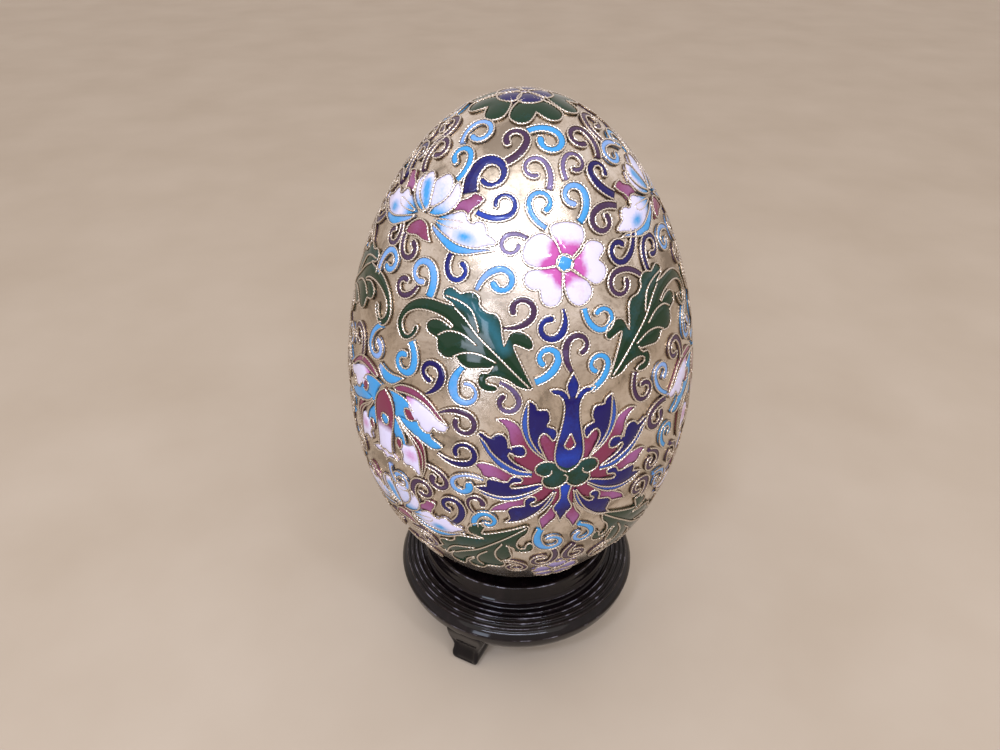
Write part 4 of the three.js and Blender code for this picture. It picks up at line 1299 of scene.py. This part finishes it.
def stage():
    """Floor, soft lights, room light and camera."""
    scene = bpy.context.scene
    bm = bmesh.new()
    bmesh.ops.create_grid(bm, x_segments=8, y_segments=8, size=FLOOR_HALF)
    floor = mesh_object("studio_floor", bm, "floor")

    for name, lamp in LAMPS.items():
        soft_light(name, *lamp)
    world = bpy.data.worlds.new("soft_room")
    world.use_nodes = True
    background = world.node_tree.nodes["Background"]
    background.inputs["Color"].default_value = linear(ROOM_TONE)
    background.inputs["Strength"].default_value = ROOM_LIGHT
    scene.world = world

    data = bpy.data.cameras.new("camera")
    data.lens = LENS
    data.sensor_width = SENSOR
    data.clip_start = 0.01
    camera = new_object("camera", data)
    camera.location = CAMERA_PLACE
    camera.rotation_euler = CAMERA_TURN
    scene.camera = camera
    scene.view_settings.view_transform = "Standard"


# ------------------------------------------------------------------ operators

def scrolls(figures, name, repeats=REPEATS):
    """Lays the tendrils of one table and repeats them round the egg."""
    laid = {}
    for (angle, arc), curls in figures.items():
        figure = Figure()
        for curl in curls:
            figure.scroll(*curl)
        lay(figure, laid, angle, arc)
    pieces(laid, name, repeats)


class EGG_OT_stage(bpy.types.Operator):
    """Adds the floor, the lights and the camera"""
    bl_idname = "egg.stage"
    bl_label = "Stage"

    def execute(self, context):
        stage()
        return {"FINISHED"}


class EGG_OT_ground(bpy.types.Operator):
    """Turns the gilt egg"""
    bl_idname = "egg.ground"
    bl_label = "Gilt egg"

    def execute(self, context):
        egg_ground()
        return {"FINISHED"}


class EGG_OT_crown(bpy.types.Operator):
    """Adds the rosette on the egg's top"""
    bl_idname = "egg.crown"
    bl_label = "Crown rosette"

    def execute(self, context):
        laid = {}
        lay(crown_rosette(), laid, 0.0, TOP)
        pieces(laid, "crown", repeats=1)
        return {"FINISHED"}


class EGG_OT_blossoms(bpy.types.Operator):
    """Adds the plum blossoms and the lilac flowers"""
    bl_idname = "egg.blossoms"
    bl_label = "Blossoms"

    def execute(self, context):
        laid = {}
        lay(plum_blossom(), laid, FRONT, 125.0)
        lay(lavender_flower(), laid, FRONT, 43.0)
        pieces(laid, "blossom")
        return {"FINISHED"}


class EGG_OT_leaves(bpy.types.Operator):
    """Adds the acanthus leaves"""
    bl_idname = "egg.leaves"
    bl_label = "Leaves"

    def execute(self, context):
        laid = {}
        # each leaf copy gets its own strength of painted sheen
        lay(leaf(), laid, -20.0, 110.0)
        lay(leaf(sheen=0.3), laid, 48.0, 110.0, flip=True)
        pieces(laid, "upper_leaf")
        laid = {}
        stamp = leaf(tail=False, sheen=0.1)
        lay(stamp, laid, -10.0, 54.0, turn=86.0, shift=(-2.6, -2.5), grow=(1.0, 1.15))
        lay(stamp, laid, 38.0, 54.0, turn=-86.0, shift=(2.6, -2.5), flip=True, grow=(1.0, 1.15))
        pieces(laid, "lower_leaf")
        return {"FINISHED"}


class EGG_OT_great_lotus(bpy.types.Operator):
    """Adds the great lotuses"""
    bl_idname = "egg.great_lotus"
    bl_label = "Great lotus"

    def execute(self, context):
        laid = {}
        lay(great_lotus(), laid, FRONT, 82.0, turn=-3.2, shift=(-1.0, 0.0))
        pieces(laid, "great_lotus")
        return {"FINISHED"}


class EGG_OT_hanging_lotus(bpy.types.Operator):
    """Adds the hanging lotuses"""
    bl_idname = "egg.hanging_lotus"
    bl_label = "Hanging lotus"

    def execute(self, context):
        laid = {}
        lay(hanging_lotus(), laid, SIDE, 86.0)
        pieces(laid, "hanging_lotus")
        return {"FINISHED"}


class EGG_OT_small_lotus(bpy.types.Operator):
    """Adds the small lotuses"""
    bl_idname = "egg.small_lotus"
    bl_label = "Small lotus"

    def execute(self, context):
        laid = {}
        stamp = small_lotus()
        lay(stamp, laid, SIDE, 132.0)
        lay(stamp, laid, SIDE + 3.0, 62.0)
        pieces(laid, "small_lotus")
        return {"FINISHED"}


class EGG_OT_scrolls(bpy.types.Operator):
    """Adds the curled tendrils between the figures"""
    bl_idname = "egg.scrolls"
    bl_label = "Scrolls"

    def execute(self, context):
        scrolls(UPPER_SCROLLS, "upper_scroll")
        scrolls(LOWER_SCROLLS, "lower_scroll")
        scrolls(LEFT_SCROLLS, "left_scroll", repeats=1)
        scrolls(RIGHT_SCROLLS, "right_scroll", repeats=2)
        return {"FINISHED"}


class EGG_OT_stand(bpy.types.Operator):
    """Turns the lacquered stand"""
    bl_idname = "egg.stand"
    bl_label = "Stand"

    def execute(self, context):
        stand()
        return {"FINISHED"}


class EGG_OT_feet(bpy.types.Operator):
    """Carves the stand's three feet"""
    bl_idname = "egg.feet"
    bl_label = "Feet"

    def execute(self, context):
        for k in range(FEET):
            foot(f"foot_carved_{k + 1}", f"foot_{k + 1}", FIRST_FOOT + 360.0 / FEET * k)
        return {"FINISHED"}


OPERATORS = (EGG_OT_stage, EGG_OT_ground, EGG_OT_great_lotus, EGG_OT_hanging_lotus, EGG_OT_small_lotus,
             EGG_OT_leaves, EGG_OT_blossoms, EGG_OT_crown, EGG_OT_scrolls, EGG_OT_stand, EGG_OT_feet)


class EGG_PT_panel(bpy.types.Panel):
    """Lists the egg's sizes, colours and pieces"""
    bl_idname = "EGG_PT_panel"
    bl_label = "Jewelled egg"
    bl_space_type = "VIEW_3D"
    bl_region_type = "UI"
    bl_category = "Jewelled egg"

    def draw(self, context):
        for group in (sizes(), finishes()):
            for key in group.__annotations__:
                self.layout.prop(group, key)
        for operator in OPERATORS:
            self.layout.operator(operator.bl_idname)


CLASSES = (EggSizes, Finishes, *OPERATORS, EGG_PT_panel)


def register():
    for kind in CLASSES:
        bpy.utils.register_class(kind)
    bpy.types.Scene.egg_sizes = bpy.props.PointerProperty(type=EggSizes)
    bpy.types.Scene.egg_finishes = bpy.props.PointerProperty(type=Finishes)


def unregister():
    del bpy.types.Scene.egg_finishes
    del bpy.types.Scene.egg_sizes
    for kind in reversed(CLASSES):
        bpy.utils.unregister_class(kind)


def main():
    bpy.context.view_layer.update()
    register()
    for operator in OPERATORS:
        getattr(bpy.ops.egg, operator.bl_idname.split(".")[1])()


if __name__ == "__main__":
    main()
